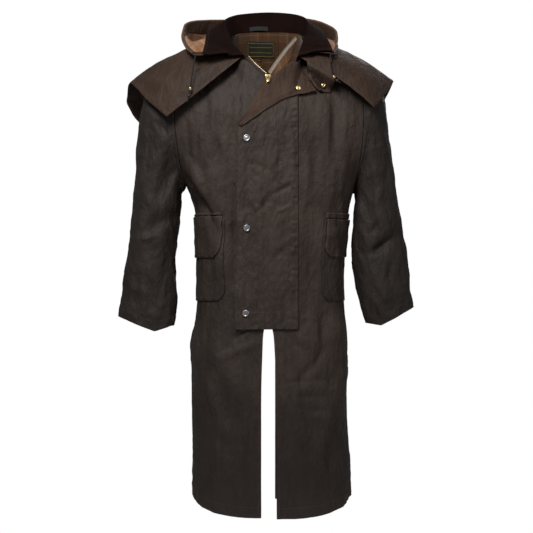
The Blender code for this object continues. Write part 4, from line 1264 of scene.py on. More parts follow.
TOGGLE = Plain("toggle_plastic", "toggle", (0.012, 0.011, 0.011), 0.8, 0.38, 0.15, 0.5, 0.00004)
THREAD = Plain("thread", "waxed_cotton", (0.07, 0.052, 0.042))
DARK_THREAD = Plain("dark_thread", "waxed_cotton", (0.024, 0.018, 0.015))
NODE_FINISHES = (
    *(CLOTH, INSIDE, CORDUROY, CHECK, LABEL, GREY_TAPE, DARK_TAPE),
    *(ZIP_STEEL, SNAP_STEEL, BRASS, CORD, TOGGLE),
)


class Row(NamedTuple):
    """Where a row's repeats stand: their points, the way of the row, and the way out of the cloth."""

    points: Grid
    ways: Grid
    ups: Grid


def row_along(line: Grid, ups: Grid, pitch: float, lift: float = 0.0) -> Row:
    """Places at an even pitch along a line.

    Args:
        line: Points of the line.
        ups: The way out of the cloth at those points.
        pitch: The distance from one repeat to the next.
        lift: How far the repeats stand off the line.

    Returns:
        The row.
    """
    way = lengths_along(line[:, None], 0)[:, 0]
    at = np.arange(pitch * 0.8, way[-1] - pitch * 0.6, pitch)
    along = np.gradient(line, axis=0)
    read = [np.stack([np.interp(at, way, v[:, k]) for k in range(3)], axis=-1) for v in (line, along, ups)]
    points, ways, outs = read[0], unit(read[1]), unit(read[2])
    return Row(points + outs * lift, ways, outs)


@dataclass(frozen=True)
class Repeats:
    """A shape that a row repeats. Its size is out of the cloth, across the row, and along it."""

    repeat: Repeat
    size: Point
    uneven: float = 0.1
    seed: int = 7

    def tree(self) -> bpy.types.NodeTree:
        """Builds the node group: one shape at each point, turned along the row, then made real and dressed.

        Returns:
            The node group.
        """
        tree = bpy.data.node_groups.new(f"row_of_{self.repeat.value}", "GeometryNodeTree")
        kinds = {"Points": "Geometry", "Size": "Vector", "Uneven": "Float", "Seed": "Int"}
        for name, kind in (*kinds.items(), ("Finish", "Material")):
            tree.interface.new_socket(name, in_out="INPUT", socket_type=f"NodeSocket{kind}")
        tree.interface.new_socket("Shapes", in_out="OUTPUT", socket_type="NodeSocketGeometry")

        def node(kind: str, sockets: dict[Any, Any], **settings: Any) -> bpy.types.Node:
            """Adds a node, with its settings first and then its sockets' values or links.

            Args:
                kind: The node's type.
                sockets: Values or links.
                settings: Its properties.

            Returns:
                The node.
            """
            made = tree.nodes.new(kind)
            for name, setting in settings.items():
                setattr(made, name, setting)
            for key, value in sockets.items():
                if isinstance(value, bpy.types.NodeSocket):
                    tree.links.new(value, made.inputs[key])
                else:
                    made.inputs[key].default_value = value
            return made

        given = node("NodeGroupInput", {}).outputs
        way = node("GeometryNodeInputNamedAttribute", {"Name": "way"}, data_type="FLOAT_VECTOR")
        up = node("GeometryNodeInputNamedAttribute", {"Name": "up"}, data_type="FLOAT_VECTOR")
        along = node("FunctionNodeAlignRotationToVector", {"Vector": way.outputs[0]}, axis="Z")
        turned_to = {"Rotation": along.outputs[0], "Vector": up.outputs[0]}
        facing = node("FunctionNodeAlignRotationToVector", turned_to, axis="X", pivot_axis="Z")
        if self.repeat is Repeat.THREAD:
            shape = node("GeometryNodeMeshIcoSphere", {"Radius": 0.5, "Subdivisions": 1})
            shape = node("GeometryNodeSetShadeSmooth", {0: shape.outputs[0]})
        else:
            shape = node("GeometryNodeMeshCube", {"Size": (1.0, 1.0, 1.0)})
        lowest = node("ShaderNodeMath", {0: 1.0, 1: given["Uneven"]}, operation="SUBTRACT")
        highest = node("ShaderNodeMath", {0: 1.0, 1: given["Uneven"]}, operation="ADD")
        limits = {2: lowest.outputs[0], 3: highest.outputs[0], "Seed": given["Seed"]}
        chance = node("FunctionNodeRandomValue", limits, data_type="FLOAT")
        scale = node("ShaderNodeVectorMath", {0: given["Size"], 3: chance.outputs[1]}, operation="SCALE")
        stood = {
            "Points": given["Points"],
            "Instance": shape.outputs[0],
            "Rotation": facing.outputs[0],
            "Scale": scale.outputs[0],
        }
        shapes = node("GeometryNodeInstanceOnPoints", stood)
        real = node("GeometryNodeRealizeInstances", {0: shapes.outputs[0]})
        dressed = node("GeometryNodeSetMaterial", {0: real.outputs[0], "Material": given["Finish"]})
        node("NodeGroupOutput", {0: dressed.outputs[0]})
        return tree

    def make(self, name: str, rows: Sequence[Row], finish: Finish) -> bpy.types.Object:
        """Stands the shape at every place of the rows.

        Args:
            name: The piece's name.
            rows: The rows.
            finish: What the shapes are made of.

        Returns:
            One plain mesh object.
        """
        points, ways, ups = (np.concatenate([getattr(row, part) for row in rows]) for part in Row._fields)
        holder = plain_mesh(f"{name}_places", points, [], smooth=False)
        for label, values in (("way", ways), ("up", ups)):
            attribute = holder.data.attributes.new(label, "FLOAT_VECTOR", "POINT")
            attribute.data.foreach_set("vector", values.ravel().astype(np.float32))
        tree = self.tree()
        modifier = holder.modifiers.new("row", "NODES")
        modifier.node_group = tree
        given = {"Size": self.size, "Uneven": self.uneven, "Seed": self.seed, "Finish": material_of(finish)}
        for socket in tree.interface.items_tree:
            if socket.in_out == "INPUT" and socket.name in given:
                modifier[socket.identifier] = given[socket.name]
        graph = bpy.context.evaluated_depsgraph_get()
        mesh = bpy.data.meshes.new_from_object(holder.evaluated_get(graph))
        mesh.name = name
        piece = bpy.data.objects.new(name, mesh)
        bpy.context.scene.collection.objects.link(piece)
        bpy.data.objects.remove(holder)
        bpy.data.node_groups.remove(tree)
        return piece


STITCH = Repeats(Repeat.THREAD, (0.0007, 0.0009, 0.0036))
STITCH_PITCH = 0.0043


class Line(NamedTuple):
    """A stitched line at a distance inside a border, from a share of the border's length to another."""

    border: Border
    inside: float
    start: float = 0.0
    end: float = 1.0


def place_piece(
    piece: bpy.types.Object, finish: Finish, *nodes: str, slot: str = "", body: str = BODY
) -> bpy.types.Object:
    """Dresses a finished piece and ties it to the frame.

    Args:
        piece: The piece.
        finish: Its finish.
        nodes: The nodes that it stands for.
        slot: Not used.
        body: The body that it moves with.

    Returns:
        The piece.
    """
    piece.data.materials.clear()
    piece.data.materials.append(material_of(finish))
    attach(piece, body)
    if nodes:
        piece.name = piece.data.name = f"{nodes[0]}_piece"
        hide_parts(*nodes)
    slot or finish.slot
    LOG.info("%s: %d faces", piece.name, len(piece.data.polygons))
    return piece


def sewn(
    cloth: Cloth,
    finish: Finish,
    lines: Sequence[Line] = (),
    rests_on: Sequence[str] = (),
    held: str = "hung",
    thread: Finish = THREAD,
    is_node: bool = True,
    slot: str = "",
) -> bpy.types.Object:
    """Args:
        cloth: The wall of cloth.
        finish: Its finish.
        lines: The stitched lines on its outer side.
        rests_on: Not used.
        held: Not used.
        thread: What the lines are sewn with.
        is_node: Whether it stands for the node of its name.
        slot: The record's material slot, where that isn't the finish's own.

    Returns:
        The piece.
    """
    slot = slot or finish.slot
    piece = place_piece(cloth.build(), finish, *[cloth.name] * is_node, slot=slot)
    normals = cloth.normals()
    raised = np.broadcast_to(cloth.raised, normals.shape[:2])[..., None]
    outer = cloth.points + normals * raised
    rows = []
    for line in lines:
        path = line_from(cloth.points, outer, line.border, line.inside)
        ups = unit(line_from(cloth.points, normals, line.border, line.inside))
        first, last = int(line.start * (len(path) - 1)), int(line.end * (len(path) - 1)) + 1
        rows.append(row_along(path[first:last], ups[first:last], STITCH_PITCH, 0.0001))
    if rows:
        made = STITCH.make(f"{cloth.name}_stitches", rows, thread)
        place_piece(made, thread, slot=slot)
    width, length, area = cloth.cut()
    list(rests_on)
    return piece


@dataclass
class Collar:
    """The corduroy collar: a stand that rises from the neckline, and a fall that is folded over it."""

    stations: tuple[Station, ...] = in_mm(
        Station,
        ((-55, -92, -12), (-59, -99, -2), (-156, -113, -23.5)),
        ((-72, -72, 6), (-84, -77, 26.5), (-155, -90, 16)),
        ((-85, -36, 31), (-99, -36, 62), (-153, -35, 56)), ((-91, 0, 54), (-108, 3, 96), (-150, 20, 80)),
        ((-82, 40, 69), (-88, 50, 118), (-124, 92, 88)), ((-48, 64, 77), (-54, 78, 129), (-70, 124, 90)),
        ((0, 72, 79), (0, 88, 134), (0, 138, 90)), ((48, 64, 77), (57, 78, 129), (70, 124, 90)),
        ((82, 40, 69), (92, 44, 113), (120, 86, 86)), ((91, 0, 54), (98, -4, 85), (138, 20, 78)),
        ((85, -36, 31), (92, -40, 57), (142, -35, 56)), ((76, -72, 6), (82, -78, 25), (152, -82, 26)),
        ((68, -92, -12), (74, -99, -3), (156, -108, -2)),
    )
    fold_share: float = 0.32
    rows: tuple[float, ...] = (0.0, 0.16, 0.32, 0.44, 0.62, 0.8, 1.0)
    fold_row: int = 3
    columns: int = 25
    fineness: int = 7
    over_hood: float = CORDUROY_WALL + 0.0028
    over_cape: float = CORDUROY_WALL + 0.0035
    over_tab: float = CORDUROY_WALL + 0.0025

    @property
    def last(self) -> int:
        """The last station."""
        return len(self.stations) - 1

    def curve(self, part: str, at: Any) -> Grid:
        """The collar's seam, fold or edge at the given stations."""
        return curve_through(np.arange(len(self.stations)), [getattr(s, part) for s in self.stations], at)

    def surface(self, at: Any, across: Any) -> Grid:
        """The collar's face.

        Args:
            at: Stations.
            across: Shares of the way up the stand from the seam, over the fold and down the fall to its edge.

        Returns:
            The points.
        """
        at, across = np.broadcast_arrays(np.asarray(at, float), np.asarray(across, float))
        seam, fold, edge = (self.curve(part, at) for part in ("seam", "fold", "edge"))
        up = np.clip(across / self.fold_share, 0.0, 1.0)[..., None]
        down = np.clip((across - self.fold_share) / (1 - self.fold_share), 0.0, 1.0)[..., None]
        start = seam + np.array([0.0, 0.0, SEAM_GAP + 0.0004])
        fall = edge - fold
        lift = np.array([0.0, 0.0, 0.16]) * np.linalg.norm(fall, axis=-1, keepdims=True)
        return start + (fold - start) * up + fall * down + lift * down * (1 - down) ** 2 * 2.2

    def neck_ring(self, at: Any, step: float, rise: float) -> Grid:
        """Where the cape or the hood starts: a step outside the collar's stand, and a rise above its seam.

        Args:
            at: Stations.
            step: The step out.
            rise: The rise.

        Returns:
            The points.
        """
        seam = self.curve("seam", at)
        along = self.curve("seam", np.asarray(at) + 0.05) - self.curve("seam", np.asarray(at) - 0.05)
        out = unit(np.stack([-along[..., 1], along[..., 0], np.zeros(along.shape[:-1])], axis=-1))
        return seam + out * (CORDUROY_WALL + step) + np.array([0.0, 0.0, 0.0016 + rise])

    def make(self, hood: Hood, cape: Cape, flap: StormFlap) -> None:
        """Makes the collar, its fall lying on the hood, the cape and the throat tab.

        Args:
            hood: The hood.
            cape: The cape.
            flap: The storm flap with its tab.
        """
        points = self.surface(span(0, self.last, self.columns)[None, :], np.array(self.rows)[:, None])
        points = finer(points, self.fineness)
        first = self.fold_row * self.fineness
        fall = points[first:]
        for base, clearance, reach in (
            (hood.points, self.over_hood, 0.015),
            (cape.points, self.over_cape, 0.015),
            (flap.tab_points, self.over_tab, 0.006),
        ):
            fall = lie_on(fall, base, clearance, reach)
        fall = moved_out(fall, 0.0005 * crumple(fall, (0.06, 0.06, 0.06), 51))
        blend = smoothstep(span(0, 3, len(fall)))[:, None, None]
        points[first:] = points[first:] * (1 - blend) + fall * blend
        points = eased(points, 2)
        cloth = Cloth("collar", points, CORDUROY_WALL, hems=(Border.HIGH, Border.FIRST, Border.LAST))
        lines = (
            Line(Border.HIGH, 0.006, 0.01, 0.99),
            Line(Border.FIRST, 0.006, 0.02, 0.97),
            Line(Border.LAST, 0.006, 0.02, 0.97),
        )
        sewn(cloth, CORDUROY, lines, ("cape",), "folded", DARK_THREAD)


@dataclass
class Body:
    """The fronts and the backs, from hem to shoulder, with the open front, the V and the back vent."""

    collar: Collar
    rings: tuple[Ring, ...] = in_mm(
        Ring,
        (-1140, 187.5, 206.5, 138, 135), (-1015, 188.5, 205, 137, 134), (-955, 188.5, 200.5, 136, 132),
        (-805, 190.5, 196, 134, 130), (-685, 186, 197.5, 131, 128), (-625, 178.5, 191, 129, 126),
        (-505, 176.5, 187.5, 127, 122), (-415, 177.5, 195.5, 127, 120), (-355, 184, 203.5, 128, 120),
        (-315.5, 204, 215, 128, 120), (-250, 222, 226, 127, 121), (-150, 240, 240, 123, 122),
        (-60, 240, 240, 114, 118), (0, 235, 235, 104, 108), (80, 220, 220, 88, 94),
    )
    edges: tuple[Edge, ...] = in_mm(
        Edge,
        (-1140, 16.8, 21.5, 19), (-960, 17, 20.5, 19), (-800, 16.5, 18.5, 19), (-720, 14, 16.5, 18.5),
        (-680, 12, 13.5, 16.5), (-640, 5.2, 5.2, 6), (-600, 4.5, 4.5, 0.3), (-50, 4.5, 4.5, 0.3),
        (80, 4.5, 4.5, 0.3),
    )
    squareness: float = 0.1
    hem_centre: tuple[float, float] = (-1.1213, -1.124)
    hem_side_rise: float = 0.046
    hem_back_centre: float = -1.118
    v_point: Point = (0.0045, -0.114, -0.06)
    armpits: tuple[Place, Place] = ((0.204, -0.3155), (0.215, -0.3175))
    shoulder_tip: Place = (0.225, -0.02)
    armhole_half_depth: float = 0.085
    armhole_bow: float = 0.013
    neck_start: float = 0.18
    neck_end: float = 0.36
    columns: int = 50
    low_rows: int = 156
    high_rows: int = 54
    front_creases: tuple[tuple[Crease, ...], tuple[Crease, ...]] = (
        in_mm(
            Crease,
            ((-205, -265), (-112, -400), 22, 12.1), ((-190, -330), (-150, -390), 20, -8.1),
            ((-140, -120), (-120, -260), 18, -6.8), ((-100, -80), (-85, -250), 16, -5.4),
            ((-83, -320), (-83, -560), 8, -9), ((-204, -290), (-128, -412), 10, -8),
            ((-120, -410), (-100, -560), 14, 6), ((-188, -690), (-100, -930), 18, 8),
            ((-180, -760), (-125, -930), 12, -6), ((-112, -950), (-62, -1095), 14, 6),
            ((-130, -700), (-60, -860), 26, 8.1), ((-165, -840), (-150, -1080), 20, -9.5),
            ((-70, -900), (-90, -1110), 22, -6.8), ((-203, -150), (-193, -244), 7, -6.3),
            ((-193, -244), (-158, -293), 8, -7.1), ((-158, -293), (-140, -351), 8, -7.6),
            ((-140, -351), (-109, -404), 7, -5.5), ((-172, -150), (-174, -271), 5, -3.4),
            ((-150, -157), (-155, -235), 5, -2.9), ((-53, -668), (-85, -694), 6, -5.5),
            ((-30, -700), (-120, -742), 10, 4.6), ((-28, -861), (-53, -1015), 9, 6.3),
            ((-61, -551), (-69, -609), 6, 4.6), ((-102, -447), (-123, -539), 8, 5),
            ((-128, -930), (-120, -1060), 9, 4.6),
        ),
        in_mm(
            Crease,
            ((165, -110), (162, -260), 13, -9.5), ((192, -130), (186, -270), 15, 6.8),
            ((118, -200), (120, -380), 18, -5.4), ((105, -420), (100, -640), 18, -5.4),
            ((150, -610), (130, -740), 18, -8.1), ((30, -760), (80, -950), 24, 8.1),
            ((165, -830), (150, -1080), 24, -8.1), ((100, -950), (95, -1110), 22, -6.8),
            ((190, -760), (120, -1000), 18, 7.5), ((145, -715), (72, -800), 11, -5.5),
            ((55, -990), (70, -1105), 12, -6), ((173, -127), (167, -230), 5, -4.6),
            ((196, -140), (193, -208), 6, -5.5), ((28, -775), (43, -817), 6, -5.9),
            ((43, -817), (53, -856), 6, -5.9), ((48, -675), (84, -725), 7, -4.6),
            ((72, -926), (106, -981), 8, -5), ((48, -795), (162, -791), 4, -2.5),
            ((53, -827), (150, -834), 4.5, -2.9), ((63, -858), (162, -868), 4.5, -2.5),
            ((88, -811), (178, -815), 4, 2.1), ((104, -880), (170, -889), 5, 2.1),
        ),
    )
    back_creases: tuple[tuple[Crease, ...], tuple[Crease, ...]] = (
        in_mm(
            Crease,
            ((-185, -330), (-110, -470), 24, 9.5), ((-75, -480), (-80, -900), 24, -9.5),
            ((-140, -640), (-150, -1080), 26, 9.5), ((-190, -240), (-150, -330), 7, -6.3),
            ((-150, -330), (-118, -378), 7, -5), ((-40, -300), (-52, -420), 8, -3.8),
            ((-48, -660), (-95, -725), 8, -5.5), ((-60, -905), (-45, -1030), 9, 5.5),
            ((-52, -800), (-148, -812), 4.5, -2.5),
        ),
        in_mm(
            Crease,
            ((190, -340), (100, -450), 24, 9.5), ((80, -520), (90, -950), 24, -9.5),
            ((140, -660), (160, -1080), 26, 9.5), ((196, -230), (168, -320), 7, -6.3),
            ((168, -320), (120, -392), 8, -5.5), ((60, -280), (48, -385), 8, -3.4),
            ((35, -690), (88, -742), 7, -5), ((110, -930), (98, -1045), 9, 5),
            ((45, -842), (150, -836), 4.5, -2.5),
        ),
    )
    coarse: float = 0.0026
    fine: float = 0.0009

    def hem_height(self, side: Side) -> float:
        """The height of the hem at the front's edge."""
        return self.hem_centre[side.index]

    def armpit(self, side: Side) -> Place:
        """Half width and height of the armpit."""
        return self.armpits[side.index]

    def armhole(self, side: Side, turn: Grid) -> tuple[Grid, Grid, Grid]:
        """Half width, half depth and height of the armhole, from 0 at the armpit to pi at the shoulder tip.

        Args:
            side: The wearer's side.
            turn: Angles round it.

        Returns:
            The three, for each angle.
        """
        pit_x, pit_z = self.armpit(side)
        tip_x, tip_z = self.shoulder_tip
        share = (1 - np.cos(turn)) / 2
        x = pit_x + (tip_x - pit_x) * share + self.armhole_bow * np.sin(turn) ** 2
        return x, self.armhole_half_depth * np.sin(turn), pit_z + (tip_z - pit_z) * share

    def top(self, side: Side, face: Face, u: Grid) -> Grid:
        """The panel's top edge: the open front edge, the neckline, then the shoulder seam.

        Args:
            side: The wearer's side.
            face: Whether it is a front or a back.
            u: Shares of the way along the edge.

        Returns:
            The points.
        """
        middle = self.collar.last // 2
        front_end, side_neck = (0, 3) if side is Side.RIGHT else (self.collar.last, self.collar.last - 3)
        if face is Face.FRONT:
            share = np.clip((u - self.neck_start) / (self.neck_end - self.neck_start), 0.0, 1.0)
            neck = self.collar.curve("seam", front_end + (side_neck - front_end) * share)
            opening = np.clip(1 - u / self.neck_start, 0.0, 1.0)[..., None]
            v_point = np.array(self.v_point) * np.array([side.sign, 1.0, 1.0])
            neck = neck * (1 - opening) + v_point * opening
        else:
            share = np.clip(u / self.neck_end, 0.0, 1.0)
            neck = self.collar.curve("seam", middle + (side_neck - middle) * share)
        tip = np.array([side.sign * self.shoulder_tip[0], 0.0, self.shoulder_tip[1]])
        shoulder = np.clip((u - self.neck_end) / (1 - self.neck_end), 0.0, 1.0)[..., None]
        return neck * (1 - shoulder) + tip * shoulder

    def heights(self, side: Side, face: Face, u: Grid) -> tuple[Grid, float, Grid]:
        """Heights of a panel's hem, of the armpit, and of the panel's top edge, at the columns u.

        Args:
            side: The wearer's side.
            face: Whether it is a front or a back.
            u: Columns.

        Returns:
            The three heights.
        """
        side_height = self.hem_height(side)
        centre = side_height if face is Face.FRONT else self.hem_back_centre
        rise = np.sin(np.clip(u, 0.0, 1.0) * math.pi / 2) ** 3
        hem = centre + (side_height + self.hem_side_rise - centre) * rise
        return hem, self.armpit(side)[1], self.top(side, face, u)[..., 2]

    def ring_ends(self, side: Side, face: Face, z: Grid) -> tuple[Grid, Grid, Grid]:
        """Half width, depth and the first angle of a panel's ring at a height.

        Args:
            side: The wearer's side.
            face: Whether it is a front or a back.
            z: Heights.

        Returns:
            The three, for each height.
        """
        width = column_at(self.rings, side.value, z)
        depth = column_at(self.rings, face.value, z)
        opened = column_at(self.edges, side.value if face is Face.FRONT else "vent", z)
        return width, depth, np.arcsin(np.clip(opened / width, 0.0, 1.0))

    def end(self, side: Side, face: Face, u: Grid, height: Grid) -> tuple[Grid, Grid]:
        """Where a panel's ring would lie at its top edge, before it is drawn in to the neck and shoulder.

        Args:
            side: The wearer's side.
            face: Whether it is a front or a back.
            u: Columns.
            height: The top edge's height there.

        Returns:
            Half widths and depths.
        """
        width, depth, first = self.ring_ends(side, face, height)
        angle = first + (math.pi / 2 - first) * u
        swell = 1 + self.squareness * np.sin(2 * angle) ** 2
        end_x = self.shoulder_tip[0] - width
        return width * np.sin(angle) * swell + end_x * u**2, depth * np.cos(angle) * swell

    def surface(self, side: Side, face: Face, u: Any, v: Any) -> Grid:
        """Outer points of a body panel.

        Args:
            side: The panel's side.
            face: Whether it is a front or a back.
            u: Shares of the way from the front edge or back seam to the side seam and armhole.
            v: From the hem, 0, past the armpit's level, 1, to the shoulder seam and neckline, 2.

        Returns:
            The points.
        """
        u, v = np.broadcast_arrays(np.asarray(u, float), np.asarray(v, float))
        sign, toward = side.sign, -1.0 if face is Face.FRONT else 1.0
        hem, pit_z, _ = self.heights(side, face, u)
        turn = np.clip(v - 1, 0.0, 1.0) * math.pi
        share = (1 - np.cos(turn)) / 2
        top = self.top(side, face, u)
        z = np.where(v <= 1, hem + (pit_z - hem) * v, pit_z + (top[..., 2] - pit_z) * share)
        arm_x, arm_y, _ = self.armhole(side, turn)
        width, depth, first = self.ring_ends(side, face, z)
        last = np.arccos(np.clip(arm_y / depth, 0.0, 0.98))
        angle = first + (last - first) * u
        swell = 1 + self.squareness * np.sin(2 * angle) ** 2
        x = width * np.sin(angle) * swell
        y = depth * np.cos(angle) * swell
        end_swell = 1 + self.squareness * np.sin(2 * last) ** 2
        above = np.where(v > 1, 1.0, 0.0)
        reach = u**2 * above
        x = x + (arm_x - width * np.sin(last) * end_swell) * reach
        y = y + (arm_y - depth * np.cos(last) * end_swell) * reach
        creases = (self.front_creases if face is Face.FRONT else self.back_creases)[side.index]
        quiet = smoothstep((1 - u) / 0.12) * smoothstep(u / 0.05) * smoothstep((2 - v) / 0.25)
        place = np.stack([sign * x, toward * y, z], axis=-1)
        dents = self.coarse * crumple(place, (0.07, 0.07, 0.15), 11)
        dents += self.fine * crumple(place, (0.022, 0.022, 0.04), 23)
        push = (creases_at(creases, sign * x, z) + dents) * quiet
        x = x + push * np.sin(angle)
        y = y + push * np.cos(angle)
        settle = np.clip((share - 0.45) / 0.55, 0.0, 1.0) ** 2
        at_top_x, at_top_y = self.end(side, face, u, top[..., 2])
        top_x, top_y = sign * top[..., 0], toward * top[..., 1]
        outer = smoothstep((u - 0.5) / 0.4)
        x = (x + (top_x - at_top_x) * settle) * outer + (x * (1 - settle) + top_x * settle) * (1 - outer)
        y = (y + (top_y - at_top_y) * settle) * outer + (y * (1 - settle) + top_y * settle) * (1 - outer)
        seam = SEAM_GAP / 2
        at_seam = smoothstep((u - 0.9) / 0.1) * (1 - above) + above * smoothstep((v - 1.9) / 0.1)
        y = np.maximum(y, seam * at_seam)
        x = np.maximum(x, seam)
        return np.stack([sign * x, toward * y, z], axis=-1)

    def level(self, side: Side, face: Face, u: Grid, z: Grid) -> Grid:
        """The v at which a panel's column u has the height z.

        Args:
            side: The wearer's side.
            face: Whether it is a front or a back.
            u: Columns.
            z: Heights.

        Returns:
            The levels.
        """
        hem, pit_z, top_z = self.heights(side, face, u)
        share = np.clip((z - pit_z) / (top_z - pit_z), 0.0, 1.0)
        return np.where(z <= pit_z, (z - hem) / (pit_z - hem), 1 + np.arccos(1 - 2 * share) / math.pi)

    def at(self, face: Face, x: Any, z: Any) -> Grid:
        """Points of the fronts' or backs' outer side at places of the front view, going on past the neck.

        Args:
            face: Whether it is a front or a back.
            x: Places across.
            z: Heights.

        Returns:
            The points.
        """
        x, z = np.broadcast_arrays(np.asarray(x, float), np.asarray(z, float))
        out = np.zeros(x.shape + (3,))
        for side in Side:
            mine = (x >= 0) if side is Side.LEFT else (x < 0)
            if not mine.any():
                continue
            here_x, here_z = x[mine], z[mine]
            low, high = np.full(here_x.shape, -0.1), np.full(here_x.shape, 0.98)
            for _ in range(20):
                u = (low + high) / 2
                found = self.surface(side, face, u, np.minimum(self.level(side, face, u, here_z), 1.97))
                inside = side.sign * found[..., 0] < side.sign * here_x
                low, high = np.where(inside, u, low), np.where(inside, high, u)
            out[mine] = found
        out[..., 2] = z
        return out

    def layer(self, face: Face, x: Any, z: Any, distance: Any) -> Grid:
        """Points a distance out from the fronts, or in from the backs, at places of the front view."""
        points = self.at(face, x, z)
        return points + normals_of(eased(points, 4)) * np.broadcast_to(distance, points.shape[:2])[..., None]

    def round(self, side: Side, around: Any, z: Any) -> Grid:
        """Points of the outer side, around from 0 at the front edge to 1 at the side seam and on to the back.

        Args:
            side: The wearer's side.
            around: Places round the body.
            z: Heights.

        Returns:
            The points.
        """
        around, z = np.broadcast_arrays(np.asarray(around, float), np.asarray(z, float))
        front_u, back_u = np.clip(around, 0.0, 1.0), np.clip(2 - around, 0.0, 1.0)
        front = self.surface(side, Face.FRONT, front_u, self.level(side, Face.FRONT, front_u, z))
        back = self.surface(side, Face.BACK, back_u, self.level(side, Face.BACK, back_u, z))
        return np.where((around <= 1)[..., None], front, back)

    def panel(self, side: Side, face: Face) -> Cloth:
        """The cloth of one panel, with its turned hems and the small puckers beside them.

        Args:
            side: The wearer's side.
            face: Whether it is a front or a back.

        Returns:
            The cloth.
        """
        u = span(0, 1, self.columns + 1)[None, :]
        v = np.concatenate([span(0, 1, self.low_rows + 1)[:-1], 1 + span(0, 1, self.high_rows + 1)])[:, None]
        points = self.surface(side, face, u, v)
        seams: list[tuple[Any, Any, int]] = [(slice(0, self.low_rows + 1), -1, 1)]
        seams.append((-1, slice(int(self.neck_end * self.columns), None), 1))
        hems = (Border.LOW, Border.FIRST)
        if face is Face.BACK:
            seams.append((slice(int(self.low_rows * 0.6), None), 0, 0))
        cloth = Cloth(f"{face.value}_{side.value}", points, WALL, seams=tuple(seams), hems=hems)
        cloth.flip = (side is Side.LEFT) != (face is Face.FRONT)
        below = distance_to(points, Border.LOW)
        beside = distance_to(points, Border.FIRST)
        end = distance_to(points, Border.LAST)
        band = 0.0006 * (1 - smoothstep((below - 0.025) / 0.0012))
        bottom = hump(below, 0.026, 0.01) * ripples(points, (0.013, 0.013, 0.08), 31)
        edge = hump(beside, 0.01, 0.01) * ripples(points, (0.08, 0.08, 0.014), 37)
        seam = hump(end, 0.0, 0.012) * ripples(points, (0.08, 0.08, 0.016), 41)
        quiet = smoothstep(below / 0.004) * smoothstep(beside / 0.003) * smoothstep(end / 0.003)
        cloth.raised = band + (0.0005 * bottom + 0.0004 * edge + 0.0004 * seam) * quiet
        return cloth

    def make(self) -> None:
        """Makes the fronts and the backs."""
        for face in Face:
            for side in Side:
                cloth = self.panel(side, face)
                # The wearer's left front gets the cloth painted lighter: painted light.
                finish = LIT_FRONT_CLOTH if (side, face) == (Side.LEFT, Face.FRONT) else CLOTH
                lines = [Line(Border.LOW, 0.025), Line(Border.LAST, 0.003), Line(Border.LAST, 0.009)]
                lines.append(Line(Border.FIRST, 0.006, 0.0, 0.78))
                if face is Face.BACK:
                    lines.append(Line(Border.FIRST, 0.0025, 0.36, 1.0))
                sewn(cloth, finish, lines)


